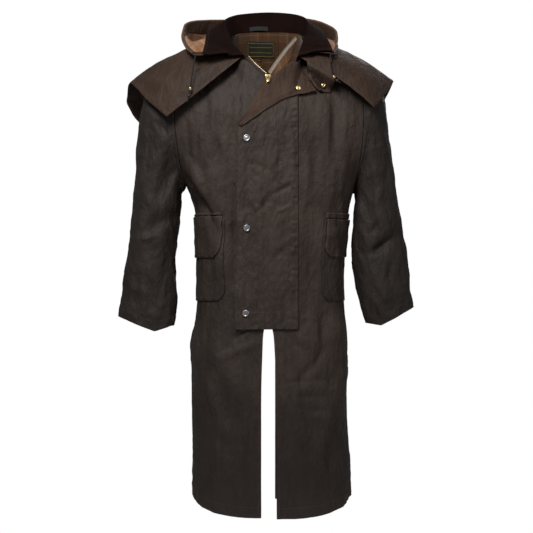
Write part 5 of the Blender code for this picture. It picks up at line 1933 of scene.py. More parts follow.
@dataclass
class Sleeves:
    """Two one-piece sleeves, each with a raised welt at the armhole and an open cuff."""

    body: Body
    cuffs: tuple[tuple[Cuff, ...], tuple[Cuff, ...]] = (
        in_mm(
            Cuff,
            ((-272, -35), (-207.5, -320), 82, 0), ((-306, -82), (-210, -325), 79, 1),
            ((-320, -145), (-212, -330), 76, 2), ((-328, -230), (-213.5, -338), 73, 4),
            ((-334, -320), (-215, -362), 70, 6), ((-342.5, -415), (-221, -418), 66, 12),
            ((-349, -475), (-227.5, -475), 62, 18), ((-358.5, -535), (-229.2, -535), 57, 26),
            ((-364, -595), (-224, -598), 51, 34), ((-367.5, -639.5), (-230.5, -660.5), 46, 40),
        ),
        in_mm(
            Cuff,
            ((262, -32), (216, -322), 82, 0), ((286, -82), (216.5, -326.5), 79, 1),
            ((296, -150), (216.8, -332), 76, 2), ((308, -240), (216, -342), 73, 4),
            ((322, -330), (214, -370), 70, 6), ((334, -415), (210.5, -428), 66, 10),
            ((343.5, -475), (208, -482), 62, 14), ((350, -530), (212.5, -540), 57, 20),
            ((353, -580), (224, -600), 51, 26), ((360, -616), (241.5, -655), 46, 30),
        ),
    )
    creases: tuple[tuple[Crease, ...], tuple[Crease, ...]] = (
        in_mm(
            Crease,
            ((-235, -235), (-262, -345), 15, -12.1), ((-230, -390), (-300, -430), 16, -8.1),
            ((-300, -300), (-315, -500), 20, 5.4), ((-240, -520), (-285, -620), 18, -6.8),
            ((-276, -165), (-244, -188), 6, -6.7), ((-218, -261), (-244, -302), 7, -8.4),
            ((-244, -302), (-248, -329), 6, -7.6), ((-208, -368), (-232, -399), 7, -7.6),
            ((-290, -200), (-300, -290), 7, -4.2), ((-268, -440), (-325, -452), 8, 5.5),
            ((-252, -545), (-262, -630), 6, 5.5), ((-318, -530), (-326, -615), 9, -5),
        ),
        in_mm(
            Crease,
            ((245, -280), (250, -440), 14, -9.5), ((262, -480), (330, -430), 15, -9.5),
            ((285, -220), (300, -400), 18, -5.4), ((255, -520), (300, -600), 18, 5.4),
            ((258, -482), (296, -449), 6, -8.4), ((253, -435), (271, -409), 6, -7.1),
            ((300, -508), (295, -551), 6, -7.1), ((262, -185), (270, -225), 6, -5.5),
            ((232, -330), (241, -405), 6, -5.5), ((318, -350), (324, -440), 8, -4.6),
            ((255, -590), (285, -640), 8, 5.5),
        ),
    )
    drops: tuple[Place, Place] = ((0.021, 0.66), (0.017, 0.7))
    around: int = 100
    along: int = 124
    welt: float = 0.0185
    welt_height: float = 0.0015
    cuff_hem: float = 0.022

    def surface(self, side: Side, angle: Any, along: Any) -> Grid:
        """Outer points of a sleeve.

        Args:
            side: The sleeve's side.
            angle: 0 at the inner side, pi at the outer, the front first.
            along: Shares of the way from the armhole to the cuff.

        Returns:
            The points.
        """
        sign, rows = side.sign, self.cuffs[side.index]
        angle, along = np.broadcast_arrays(np.asarray(angle, float), np.asarray(along, float))
        turn = np.where(angle <= math.pi, angle, 2 * math.pi - angle)
        toward = np.where(angle <= math.pi, -1.0, 1.0)
        arm_x, _, arm_z = self.body.armhole(side, turn)
        first = np.stack([sign * (arm_x + SEAM_GAP), np.zeros(turn.shape), arm_z], axis=-1)
        keys = np.arange(len(rows))
        place = np.clip(along * len(rows) - 1, 0.0, len(rows) - 1.0)
        outer = curve_through(keys, [(r.outer[0], 0.0, r.outer[1]) for r in rows], place)
        inner = curve_through(keys, [(r.inner[0], 0.0, r.inner[1]) for r in rows], place)
        depth = curve_through(keys, [r.depth for r in rows], place)
        ahead = curve_through(keys, [r.ahead for r in rows], place)
        across = (1 - np.cos(turn)) / 2
        ring = inner * (1 - across[..., None]) + outer * across[..., None]
        start = np.clip(along * len(rows), 0.0, 1.0)
        ring = first * (1 - start)[..., None] + ring * start[..., None]
        bow = self.body.armhole_bow * np.sin(turn) ** 2
        ring[..., 0] += sign * bow * start * np.clip(1 - along / 0.35, 0.0, 1.0)
        half = self.body.armhole_half_depth * (1 - start) + depth * start
        ring[..., 1] = toward * half * np.sin(turn) - ahead * start
        drop_height, drop_at = self.drops[side.index]
        low = 1 - drop_at
        peak = np.where(across < low, across / low, (1 - across) / (1 - low))
        drop = drop_height * np.clip(peak, 0, 1) * smoothstep((along - 0.72) / 0.28)
        ring[..., 2] -= np.where(toward < 0, drop, 0.15 * drop)
        push = creases_at(self.creases[side.index], ring[..., 0], ring[..., 2])
        push = push * smoothstep(along / 0.12) * np.sin(turn) * np.where(toward < 0, 1.0, -0.5)
        ring[..., 1] += toward * push
        return ring

    def make(self) -> None:
        """Makes both sleeves."""
        for side in Side:
            along = span(0, 1, self.along + 1)[:, None]
            points = self.surface(side, span(0, 2 * math.pi, self.around + 1)[None, :], along)
            points[:, -1] = points[:, 0]
            dents = 0.0021 * crumple(points, (0.05, 0.06, 0.085), 61 + list(Side).index(side))
            dents = dents + 0.0006 * crumple(points, (0.018, 0.02, 0.03), 71)
            out = normals_of(points, closed=True) * -side.sign
            points = points + out * (dents * smoothstep(along / 0.08))[..., None]
            cloth = Cloth(f"sleeve_{side.value}", points, WALL, closed=True, hems=(Border.HIGH,))
            cloth.flip = side is Side.LEFT
            cloth.seams = ((0, slice(None), 0),)
            down, up = distance_to(points, Border.LOW), distance_to(points, Border.HIGH)
            band = smoothstep((down - 0.0005) / 0.0015) * (1 - smoothstep((down - self.welt) / 0.0015))
            puckers = band * ripples(points, (0.08, 0.022, 0.0105), 83)
            cuff = hump(up, self.cuff_hem, 0.008) * ripples(points, (0.014, 0.014, 0.09), 89)
            hem = 0.0005 * (1 - smoothstep((up - self.cuff_hem) / 0.0012))
            cuff = 0.0004 * cuff * smoothstep(up / 0.004)
            cloth.raised = self.welt_height * band + 0.0012 * puckers + hem + cuff
            lines = (
                Line(Border.LOW, 0.003),
                Line(Border.LOW, self.welt - 0.0015),
                Line(Border.HIGH, self.cuff_hem),
            )
            # The sleeves are sewn from the cloth painted darker: painted shade.
            sewn(cloth, SHADED_SLEEVE_CLOTH, lines)


@dataclass
class Cape:
    """The shoulder cape, from under the collar to its free hem."""

    collar: Collar
    spokes: tuple[Spoke, ...] = in_mm(
        Spoke,
        (0.35, (-153, -119, -80), (-245.5, -114, -153)), (0.9, (-180, -108, -50), (-294, -80, -110)),
        (2, (-210, -55, 2), (-324, -38, -76)), (3, (-226, 0, 19), (-346, 4, -57)),
        (3.5, (-220, 50, 11), (-356, 45, -84)), (4, (-205, 95, -8), (-356, 85, -108)),
        (4.5, (-175, 123, -25), (-320, 128, -154)), (5.2, (-105, 142, -50), (-190, 156, -225)),
        (6, (0, 150, -60), (0, 164, -260)), (6.8, (105, 142, -50), (185, 156, -225)),
        (7.5, (170, 123, -25), (285, 125, -155)), (8, (195, 95, -8), (295, 82, -102)),
        (8.5, (206, 50, 5), (306, 42, -74)), (9, (210, 0, 14), (313, 0, -53)),
        (10, (205, -50, -1), (298, -38, -80)), (11.1, (182, -96, -26), (280, -76, -102)),
        (11.65, (164, -115, -56), (258, -106, -130.5)),
    )
    neck_step: float = 0.0024
    around: int = 216
    down: int = 48
    dents: float = 0.0016
    hem: float = 0.009

    @cached_property
    def points(self) -> Grid:
        """Outer points, around from the right front edge to the left, and down from the neck to the hem.

        Returns:
            The points.
        """
        around = np.broadcast_to(span(0, 1, self.around + 1)[None, :], (self.down + 1, self.around + 1))
        down = span(0, 1, self.down + 1)[:, None] * np.ones_like(around)
        at, middle, hem = (spread(self.spokes, name, around) for name in Spoke._fields)
        points = bow_through(self.collar.neck_ring(at, self.neck_step, 0.0), middle, hem, down)
        dents = self.dents * crumple(points, (0.075, 0.075, 0.09), 101) * smoothstep(down / 0.5)
        return moved_out(points, dents)

    def make(self) -> None:
        """Makes the cape."""
        cloth = Cloth("cape", self.points, WALL, hems=(Border.HIGH, Border.FIRST, Border.LAST))
        up = distance_to(self.points, Border.HIGH)
        puckers = hump(up, self.hem, 0.008) * ripples(self.points, (0.015, 0.015, 0.08), 103)
        band = 1 - smoothstep((up - self.hem) / 0.0012)
        cloth.raised = 0.0004 * band + 0.0004 * puckers * smoothstep(up / 0.004)
        lines = (
            Line(Border.HIGH, self.hem),
            Line(Border.HIGH, 0.003),
            Line(Border.FIRST, 0.005, 0.3, 0.98),
            Line(Border.LAST, 0.005, 0.3, 0.98),
        )
        rests = ("front_right", "front_left", "back_right", "back_left", "sleeve_right", "sleeve_left")
        sewn(cloth, CAPE_CLOTH, lines, rests, "draped")


@dataclass
class Hood:
    """The hood, folded down behind the collar: its shell, its check lining, and the facing inside its rim."""

    collar: Collar
    cape: Cape
    folds: tuple[Fold, ...] = in_mm(
        Fold,
        (0.95, (-156, -115, -1), (-179.6, -115, -1.8)), (1.5, (-166, -80, 23), (-200.7, -72, 19.4)),
        (2.1, (-176, -30, 40), (-214, -24, 51)), (2.8, (-186, 20, 40), (-212, 15, 77)),
        (3.5, (-188, 90, 18), (-200, 55, 104)), (4.3, (-142, 164, -40), (-140, 120, 120.5)),
        (5.1, (-72, 190, -110), (-75, 162, 127)), (6, (0, 198, -135), (0, 176, 128)),
        (6.9, (72, 190, -110), (70, 162, 132)), (7.7, (130, 164, -40), (123, 126, 120)),
        (8.5, (160, 90, 20), (166, 66, 90.2)), (9.2, (156, 20, 44), (172.5, 10, 59.5)),
        (9.9, (152, -30, 42), (172, -28, 32.5)), (10.5, (149, -70, 26), (169, -68, 12)),
        (11, (142, -108, 4), (160, -108, 2)),
    )
    neck_step: float = 0.007
    neck_rise: float = 0.0065
    lining_gap: float = 0.001
    clearance: float = 0.0112
    columns: int = 27
    rows: int = 12
    fineness: int = 6
    facing_height: float = 0.034
    facing_end: float = 0.008
    facing_rows: int = 16

    @cached_property
    def points(self) -> Grid:
        """The hood's inner side, from the neck, down over the cape, and up the far side to the rim.

        Returns:
            The points.
        """
        around = np.broadcast_to(span(0, 1, self.columns)[None, :], (self.rows, self.columns))
        across = span(0, 1, self.rows)[:, None] * np.ones_like(around)
        at, low, rim = (spread(self.folds, name, around) for name in Fold._fields)
        neck = self.collar.neck_ring(at, self.neck_step, self.neck_rise)
        points = eased(lie_on(bow_through(neck, low, rim, across), self.cape.points, self.clearance), 3)
        points = finer(lie_on(points, self.cape.points, self.clearance - 0.0004), self.fineness)
        dents = 0.0009 * crumple(points, (0.05, 0.05, 0.06), 111)
        free = smoothstep(distance_to(points, Border.LOW) / 0.03)
        free = free * smoothstep(distance_to(points, Border.HIGH) / 0.01)
        points = moved_out(points, dents * free)
        return lie_on(points, self.cape.points, self.clearance - 0.001)

    @cached_property
    def shell_points(self) -> Grid:
        """The shell's side that faces the lining."""
        return moved_out(self.points, -(LINING_WALL + self.lining_gap))

    def facing_points(self) -> Grid:
        """The facing: a band inside the rim, narrow at the hood's front ends.

        Returns:
            Its outer points.
        """
        columns = self.points.shape[1]
        from_end = np.minimum(span(0, 1, columns), span(1, 0, columns))
        more = self.facing_height - self.facing_end
        heights = self.facing_end + more * smoothstep((from_end - 0.16) / 0.18)
        outer = moved_out(self.points, 0.0012)
        way = distance_to(self.points, Border.HIGH)
        grid = np.zeros((self.facing_rows, columns, 3))
        for column in range(columns):
            wanted = span(heights[column], 0.0008, self.facing_rows)
            for axis in range(3):
                grid[:, column, axis] = np.interp(wanted, way[::-1, column], outer[::-1, column, axis])
        return grid[:, 2:-2]

    def make(self) -> None:
        """Makes the shell, the lining and the facing."""
        rim = (Border.HIGH, Border.FIRST, Border.LAST)
        shell = Cloth("hood_shell", self.shell_points, WALL, hems=rim)
        sewn(shell, CAPE_CLOTH, (), ("cape",), "folded")
        lining = Cloth("hood_lining", self.points[:, 3:-3], LINING_WALL, hems=rim)
        sewn(lining, CHECK, (), ("hood_shell",), "folded")
        facing = Cloth("hood_facing", self.facing_points(), LINING_WALL, hems=(Border.HIGH,))
        lines = (Line(Border.LOW, 0.002), Line(Border.HIGH, 0.005))
        sewn(facing, INSIDE, lines, ("hood_lining",), "folded", is_node=False)


@dataclass
class StormFlap:
    """The flap over the zip, its top corner turned back over it, and the throat tab beside that."""

    body: Body
    cape: Cape
    lines: tuple[Width, ...] = in_mm(
        Width,
        (-667.5, -77, 72.5), (-500, -74.5, 72.5), (-172, -70, 72.5), (-10, -66, 72.5),
    )
    turn_back: tuple[TurnBack, ...] = in_mm(
        TurnBack,
        ((-69, -173), (-64, -179)), ((-35, -117), (-14, -144)), ((-8, -77), (26, -118)),
        ((15, -53), (58, -106)), ((40, -33), (90, -99)), ((59, -21.5), (114, -93.5)),
    )
    fold_end: Place = (0.073, -0.013)
    tab: tuple[Width, ...] = in_mm(
        Width,
        (-93, 120, 150), (-88, 114, 152), (-50, 92, 151), (-32, 87, 150),
    )
    creases: tuple[Crease, ...] = in_mm(
        Crease,
        ((26, -256), (26, -278), 4, -3.4), ((55, -318), (10, -345), 6, -4.2),
        ((10, -345), (-30, -392), 8, -3.8), ((52, -372), (22, -384), 4, 2.9),
        ((-40, -262), (4, -286), 7, -2.9), ((48, -465), (12, -505), 6, -2.9),
        ((-22, -520), (-38, -618), 7, 3.8), ((30, -560), (18, -640), 6, -2.9),
        ((-48, -250), (-52, -395), 8, -2.9),
    )
    lift: float = 0.0042
    free_lift: float = 0.003
    top_lift: float = 0.0045
    sewn_from: float = 0.056
    sewn_drop: float = 0.0013
    layer: float = WALL + 0.002
    roll: float = 0.0028
    columns: int = 48
    rows: int = 210

    def lift_at(self, x: Grid, z: Grid) -> Grid:
        """How far the flap stands off the fronts. It stands off further at its free edge and its top.

        Args:
            x: Places across.
            z: Heights.

        Returns:
            The distances.
        """
        free = self.free_lift * np.clip((0.0725 - x) / 0.14, 0.0, 1.0)
        top = self.top_lift * smoothstep((z + 0.15) / 0.09) * smoothstep((x - 0.005) / 0.03)
        sewn = self.sewn_drop * smoothstep((x - self.sewn_from) / 0.014)
        wave = 0.0009 * np.sin(z * 31.0 + 0.6) * smoothstep((self.sewn_from - x) / 0.1)
        return self.lift + free + top - sewn + wave

    def fold_height(self, x: Grid) -> Grid:
        """The height of the flap's fold line at x."""
        points = [row.fold for row in self.turn_back] + [self.fold_end]
        return curve_through([p[0] for p in points], [p[1] for p in points], x)

    @cached_property
    def flap_points(self) -> Grid:
        """Outer points of the flap, up from its hem to the fold line.

        Returns:
            The points.
        """
        across = span(0, 1, self.columns + 1)[None, :]
        up = 1 - (1 - span(0, 1, self.rows + 1)[:, None]) ** 1.15
        top_x = self.lines[2].right + (self.lines[2].left - self.lines[2].right) * across
        hem = self.lines[0].height
        z = hem + (self.fold_height(top_x) - hem) * up
        right, left = column_at(self.lines, "right", z), column_at(self.lines, "left", z)
        x = right + (left - right) * across
        points = self.body.layer(Face.FRONT, x, z, self.lift_at(x, z))
        dents = 0.001 * crumple(points, (0.07, 0.07, 0.11), 131)
        dents = dents + 0.0003 * crumple(points, (0.018, 0.018, 0.024), 137)
        dents = dents + creases_at(self.creases, points[..., 0], points[..., 2])
        return moved_out(points, dents * smoothstep((0.072 - x) / 0.01))

    @cached_property
    def turned_points(self) -> Grid:
        """The turned-back corner without its roll, from the fold line to its free edge.

        Returns:
            Its outer points.
        """
        up, across = span(0, 1, 78)[:, None], span(0, 1, 32)[None, :]
        fold, free = (spread(self.turn_back, name, up) for name in TurnBack._fields)
        place = fold + (free - fold) * across[..., None]
        x, z = place[..., 0], place[..., 1]
        points = self.body.layer(Face.FRONT, x, z, self.lift_at(x, z) + self.layer)
        points = moved_out(points, 0.0003 * crumple(points, (0.06, 0.06, 0.06), 141))
        points = lie_on(points, self.flap_points, self.layer)
        points = lie_on(points, self.cape.points, self.layer, 0.004)
        for _ in range(12):
            points[1:-1] = (points[:-2] + 2 * points[1:-1] + points[2:]) / 4
        return points

    @cached_property
    def tab_points(self) -> Grid:
        """Outer points of the throat tab.

        Returns:
            The points.
        """
        across, z = span(0, 1, 21)[None, :], span(self.tab[0].height, self.tab[-1].height, 36)[:, None]
        right, left = column_at(self.tab, "right", z), column_at(self.tab, "left", z)
        points = self.body.layer(Face.FRONT, right + (left - right) * across, z, self.lift)
        for _ in range(3):
            points = lie_on(points, self.turned_points, WALL + 0.0022)
            points = eased(lie_on(points, self.cape.points, WALL + 0.0031), 10)
        return lie_on(points, self.cape.points, WALL + 0.0015)

    def rolled(self) -> Grid:
        """The turned-back corner with the rounded roll along its fold, which meets the flap's top edge.

        Returns:
            Its outer points.
        """
        flat = self.turned_points
        ahead = unit(flat[:, 0] - flat[:, 1])
        normal = normals_of(flat)[:, 0]
        size = self.roll * smoothstep(span(0, 6, len(flat)))[:, None]
        turns = span(-math.pi / 2, math.pi / 2, 8)[:-1]
        ring = [flat[:, 0] + ahead * size * math.cos(t) + normal * size * (math.sin(t) - 1) for t in turns]
        return np.concatenate([np.stack(ring, axis=1), flat], axis=1)

    def make(self) -> None:
        """Makes the flap, the turned-back corner and the throat tab."""
        flap = Cloth("storm_flap", self.flap_points, WALL, hems=(Border.LOW, Border.FIRST))
        x, z = flap.points[..., 0], flap.points[..., 2]
        low, side = distance_to(flap.points, Border.LOW), distance_to(flap.points, Border.FIRST)
        sewn_band = smoothstep((x - self.sewn_from) / 0.002) * smoothstep((0.072 - x) / 0.0015)
        hem_band = 1 - smoothstep((low - 0.04) / 0.0012)
        puckers = sewn_band * ripples(flap.points, (0.09, 0.09, 0.0125), 149)
        drawn = hump(x, -0.029, 0.006) * ripples(flap.points, (0.09, 0.09, 0.012), 151)
        bottom = hump(low, 0.04, 0.008) * ripples(flap.points, (0.014, 0.014, 0.09), 157)
        quiet = smoothstep(side / 0.003) * smoothstep(low / 0.003)
        uneven = (0.0009 * puckers + 0.0005 * drawn + 0.0005 * bottom) * quiet
        flap.raised = 0.0006 * np.maximum(sewn_band, hem_band) + uneven
        lines = (
            Line(Border.LOW, 0.04),
            Line(Border.LAST, 0.0025),
            Line(Border.LAST, 0.013),
            Line(Border.FIRST, 0.043, 0.13, 0.97),
            Line(Border.FIRST, 0.004, 0.01, 0.99),
        )
        # The flap is sewn from the cloth painted lighter: painted light.
        sewn(flap, LIT_FRONT_CLOTH, lines, ("front_right", "front_left"))
        back = Cloth("storm_flap_revers", self.rolled(), WALL, hems=(Border.LAST, Border.LOW, Border.HIGH))
        sewn(back, INSIDE, [Line(Border.LAST, 0.005, 0.02, 0.98)], ("storm_flap", "cape"), "folded")
        tab = Cloth("throat_tab", self.tab_points, WALL, hems=(Border.LOW, Border.FIRST, Border.LAST))
        tab.raised = 0.0003 * ripples(self.tab_points, (0.012, 0.012, 0.016), 163)
        lines = (
            Line(Border.LOW, 0.004, 0.1, 0.9),
            Line(Border.FIRST, 0.004, 0.06, 0.98),
            Line(Border.LAST, 0.004, 0.06, 0.98),
        )
        sewn(tab, CAPE_CLOTH, lines, ("cape", "storm_flap_revers"))


@dataclass
class Pockets:
    """A patch pocket with a welt and a flap on each side, round the side seam."""

    body: Body
    patches: tuple[Patch, Patch] = (
        Patch(0.36, 1.3, -0.402, -0.6, 0.0017),
        Patch(0.43, 1.28, -0.402, -0.6, 0.0014),
    )
    flaps: tuple[Patch, Patch] = (
        Patch(0.38, 1.27, -0.394, -0.494, 0.005),
        Patch(0.45, 1.25, -0.401, -0.492, 0.0045),
    )
    welts: tuple[Patch, Patch] = (
        Patch(0.38, 1.27, -0.386, -0.3915, 0.0018),
        Patch(0.44, 1.26, -0.386, -0.3985, 0.0012),
    )
    corner: float = 0.026
    corner_share: float = 0.085
    stitch: float = 0.0045

    def grid(self, side: Side, patch: Patch, wall: float, columns: int, rows: int, corner: float) -> Grid:
        """Outer points of a piece on the body.

        Args:
            side: The wearer's side.
            patch: Where it lies.
            wall: Its thickness.
            columns: Cells round the body.
            rows: Cells upwards.
            corner: How high its rounded lower corners are, or 0.

        Returns:
            The points.
        """
        z = span(patch.bottom, patch.top, rows + 1)[:, None]
        inset = 0.0
        if corner:
            over = np.clip((patch.bottom + corner - z) / corner, 0.0, 1.0)
            inset = self.corner_share * (1 - np.sqrt(1 - np.minimum(over, 0.98) ** 2))
        near, far = patch.near + inset, patch.far - inset
        around = near + (far - near) * span(0, 1, columns + 1)[None, :]
        points = eased(self.body.round(side, around, z), 2)
        points = moved_out(points, (patch.lift + wall) * side.sign)
        dents = 0.0005 * crumple(points, (0.03, 0.03, 0.034), 171)
        return moved_out(points, dents * side.sign)

    def make(self) -> None:
        """Makes the pockets."""
        for side in Side:
            flip, name = side is Side.RIGHT, side.value
            # On the left, the welt and the flap get the cloth painted lighter: painted light.
            finish = LIT_FRONT_CLOTH if side is Side.LEFT else CLOTH
            on_body = (f"front_{name}", f"back_{name}")
            around = (Border.LOW, Border.FIRST, Border.LAST)
            edges = [Line(border, self.stitch, 0.02, 0.98) for border in around]
            points = self.grid(side, self.patches[side.index], PATCH_WALL, 64, 38, self.corner)
            patch = Cloth(f"pocket_{name}", points, PATCH_WALL, flip)
            sewn(patch, CLOTH, edges, on_body, thread=DARK_THREAD)
            points = self.grid(side, self.welts[side.index], WALL, 64, 4, 0.0)
            welt = Cloth(f"pocket_welt_{name}", points, WALL, flip, hems=(Border.LOW, Border.HIGH))
            sewn(welt, finish, [Line(Border.HIGH, 0.0015)], on_body)
            points = self.grid(side, self.flaps[side.index], WALL, 64, 22, self.corner)
            flap = Cloth(f"pocket_flap_{name}", points, WALL, flip, hems=around)
            low = distance_to(points, Border.LOW)
            puckers = hump(low, self.stitch, 0.005) * ripples(points, (0.012, 0.012, 0.05), 173)
            flap.raised = 0.0004 * puckers * smoothstep(low / 0.003)
            lines = [*edges, Line(Border.HIGH, 0.003), Line(Border.HIGH, 0.0085)]
            sewn(flap, finish, lines, (f"pocket_{name}",))


@dataclass
class NeckLining:
    """The lining inside the back of the neck, its bare label and size tab, and the hanging loop."""

    body: Body
    collar: Collar
    clearance: float = 0.004
    from_level: float = 1.375
    to_level: float = 1.985
    label: tuple[float, float, float, float] = (-0.056, 0.0155, 0.019, 0.058)
    size_tab: tuple[float, float, float, float] = (-0.027, -0.018, 0.009, 0.0165)
    patch_gap: float = 0.0008
    loop: Place = (5.05, 6.0)
    loop_across: Place = (0.02, 0.085)
    loop_bulge: float = 0.004

    def patch(self, name: str, place: Sequence[float], under: Grid, cells: tuple[int, int]) -> Cloth:
        """A bare patch on the lining.

        Args:
            name: The piece's name.
            place: Its right and left x, and its lowest and highest z.
            under: The lining's points.
            cells: Cells across and up.

        Returns:
            The cloth.
        """
        x = span(place[0], place[1], cells[0] + 1)[None, :]
        z = span(place[2], place[3], cells[1] + 1)[:, None]
        points = self.body.layer(Face.BACK, x, z, 2 * WALL + 2 * LINING_WALL)
        points = lie_on(points, under, LINING_WALL + self.patch_gap)
        return Cloth(name, points, LINING_WALL, hems=tuple(Border))

    def make(self) -> None:
        """Makes the lining, the label, the size tab and the loop."""
        levels = span(self.from_level, self.to_level, 41)[:, None]
        shares = span(0, 0.5, 31)
        right = self.body.surface(Side.RIGHT, Face.BACK, shares[::-1][None, :], levels)
        left = self.body.surface(Side.LEFT, Face.BACK, shares[1:][None, :], levels)
        points = np.concatenate([right, left], axis=1)
        points = points + normals_of(eased(points, 6)) * (WALL + self.clearance + LINING_WALL)
        lining = Cloth("neck_lining", points, LINING_WALL, hems=(Border.LOW,))
        # The neck lining's check is painted darker: painted shade.
        sewn(lining, SHADED_NECK_CHECK, [Line(Border.LOW, 0.004)], ("back_right", "back_left"))
        label = self.patch("label", self.label, points, (36, 20))
        lines = [Line(border, 0.0012) for border in Border]
        sewn(label, LABEL, lines, ("neck_lining",), thread=DARK_THREAD)
        sewn(self.patch("size_tab", self.size_tab, points, (6, 6)), LABEL, (), ("neck_lining",))
        loop = self.collar.surface(span(*self.loop, 49)[None, :], span(*self.loop_across, 7)[:, None])
        bulge = np.sin(span(0, math.pi, 49))[None, :, None]
        loop = loop + normals_of(loop) * (LINING_WALL + 0.0005 + self.loop_bulge * bulge)
        hanger = Cloth("hang_loop", loop, LINING_WALL, hems=(Border.LOW, Border.HIGH))
        sewn(hanger, GREY_TAPE, (), ("collar",))


@dataclass
class Zip:
    """The zip: its open tapes along the V, the check facing, the closed chain, the slider and the pull."""

    body: Body
    facing_low: tuple[Point, ...] = (
        (0.007, -0.1108, -0.057),
        (0.033, -0.1005, -0.036),
        (0.055, -0.079, -0.008),
        (0.062, -0.061, 0.012),
    )
    facing_high: tuple[Point, ...] = (
        (0.0075, -0.1115, -0.051),
        (0.03, -0.096, -0.016),
        (0.052, -0.076, 0.016),
        (0.073, -0.048, 0.044),
    )
    right_tape: tuple[Point, ...] = (
        (-0.008, -0.1124, -0.0553),
        (-0.0225, -0.1061, -0.0416),
        (-0.0395, -0.0986, -0.0254),
        (-0.0525, -0.0895, -0.0085),
    )
    left_tape_way: Point = (-0.7, -0.18, 0.69)
    left_tape_width: float = 0.0095
    right_tape_way: Point = (0.68, -0.1, 0.72)
    right_tape_width: float = 0.008
    low_end: float = -0.665
    chain_wall: float = 0.0016
    slider_at: Point = (0.0, -0.115, -0.058)
    slider_depth: float = 0.0028
    slider_profile: tuple[Place, ...] = ((-0.006, 0.0044), (-0.0045, 0.0052), (0.004, 0.008), (0.006, 0.0074))
    bridge_radius: float = 0.004
    bridge_wire: float = 0.0007
    bridge_at: float = 0.0005
    pull_wall: float = 0.0012
    pull_lean: float = 36.0
    tooth: Repeats = Repeats(Repeat.TOOTH, (0.0016, 0.0026, 0.0011), 0.04, 19)
    tooth_pitch: float = 0.0021

    def strip(self, low: Grid, high: Grid, columns: int, rows: int) -> Grid:
        """A strip between two curves, each through a few points.

        Args:
            low: Points of one curve.
            high: Points of the other.
            columns: Points along.
            rows: Points across.

        Returns:
            The points.
        """
        keys, at = span(0, 1, len(low)), span(0, 1, columns)
        low, high = curve_through(keys, low, at), curve_through(keys, high, at)
        share = span(0, 1, rows)[:, None, None]
        return low[None] * (1 - share) + high[None] * share

    def make_tapes(self) -> None:
        """Makes the facing and the two open tapes, with their teeth."""
        facing = Cloth("facing_left", self.strip(self.facing_low, self.facing_high, 41, 13), LINING_WALL)
        facing.hems = (Border.HIGH,)
        # The facing's check is painted darker: painted shade.
        sewn(facing, SHADED_FACING_CHECK, [Line(Border.HIGH, 0.003)], ("front_left",))
        edge, way = np.array(self.facing_high), np.array(self.left_tape_way)
        left = self.strip(edge + way * 0.0012, edge + way * self.left_tape_width, 49, 7)
        edge, way = np.array(self.right_tape)[::-1], np.array(self.right_tape_way)
        right = self.strip(edge, edge + way * self.right_tape_width, 49, 7)
        rows = []
        for side, points, finish in ((Side.LEFT, left, SILVER_TAPE), (Side.RIGHT, right, DARK_TAPE)):
            tape = Cloth(f"zip_tape_{side.value}", points, LINING_WALL, hems=(Border.HIGH,))
            sewn(tape, finish, (), (f"front_{side.value}",))
            normals = tape.normals()[-1]
            ups = np.cross(normals, np.gradient(points[-1], axis=0))
            rows.append(row_along(points[-1], ups, self.tooth_pitch))
        place_piece(self.tooth.make("zip_teeth_open", rows, OLD_BRASS), OLD_BRASS)

    def make_chain(self) -> None:
        """Makes the closed chain, a tape with two rows of meshing teeth."""
        z = span(self.low_end, self.slider_at[2] - 0.01, 150)[:, None]
        no = np.zeros_like(z)
        sides = [self.body.surface(s, Face.FRONT, no, self.body.level(s, Face.FRONT, no, z)) for s in Side]
        share = span(0.12, 0.88, 7)[None, :, None]
        points = eased(sides[0] * (1 - share) + sides[1] * share, 2)
        chain = Cloth("zip_chain", points, self.chain_wall)
        sewn(chain, DARK_TAPE, (), ("front_left", "front_right"), slot="zip_metal")
        line, normal = points[:, 3], normals_of(points)[:, 3]
        across = unit(points[:, 4] - points[:, 3])
        rows = []
        for sign in (-1.0, 1.0):
            shift = np.array([0.0, 0.0, self.tooth_pitch / 2 * (sign > 0)])
            rows.append(row_along(line + across * sign * 0.0009 + shift, normal, self.tooth_pitch, 0.0002))
        place_piece(self.tooth.make("zip_teeth_closed", rows, ZIP_STEEL), ZIP_STEEL)

    def make_slider(self) -> None:
        """Makes the slider, a body that widens upwards with a rounded front, and its bridge."""
        x, y, z = self.slider_at
        front = y - self.slider_depth
        rings = []
        heights = span(self.slider_profile[0][0], self.slider_profile[-1][0], 9)
        halves = np.interp(heights, [p[0] for p in self.slider_profile], [p[1] for p in self.slider_profile])
        turns = span(0, 2 * math.pi, 25)[:-1]
        for share, height, half in zip(span(-1, 1, 9), heights, halves):
            small = 1 - 0.18 * abs(share) ** 6
            corner_x = np.sign(np.cos(turns)) * np.abs(np.cos(turns)) ** 0.35 * half * small
            corner_y = np.sign(np.sin(turns)) * np.abs(np.sin(turns)) ** 0.35 * self.slider_depth / 2 * small
            middle = (y + front) / 2
            rings.append([(x + cx, middle + cy, z + height) for cx, cy in zip(corner_x, corner_y)])
        count = len(turns)
        last = (len(rings) - 1) * count
        after = np.roll(np.arange(count), -1)
        pairs = [(low, low + count) for low in range(0, last, count)]
        faces = [(a + i, a + j, b + j, b + i) for a, b in pairs for i, j in enumerate(after)]
        faces += [tuple(range(count))[::-1], tuple(range(last, last + count))]
        slider = plain_mesh("zip_slider", np.array(rings).reshape(-1, 3), faces)
        slider.data.set_sharp_from_angle(angle=math.radians(50))
        place_piece(slider, BRASS, "zip_slider")
        reach = front - 0.0003
        turn = span(0, math.pi, 21)
        radius = self.bridge_radius
        arch = [(x, reach - radius * math.sin(a), z + self.bridge_at + radius * math.cos(a)) for a in turn]
        place_piece(tube("zip_bridge", np.array(arch), self.bridge_wire), BRASS, "zip_bridge")

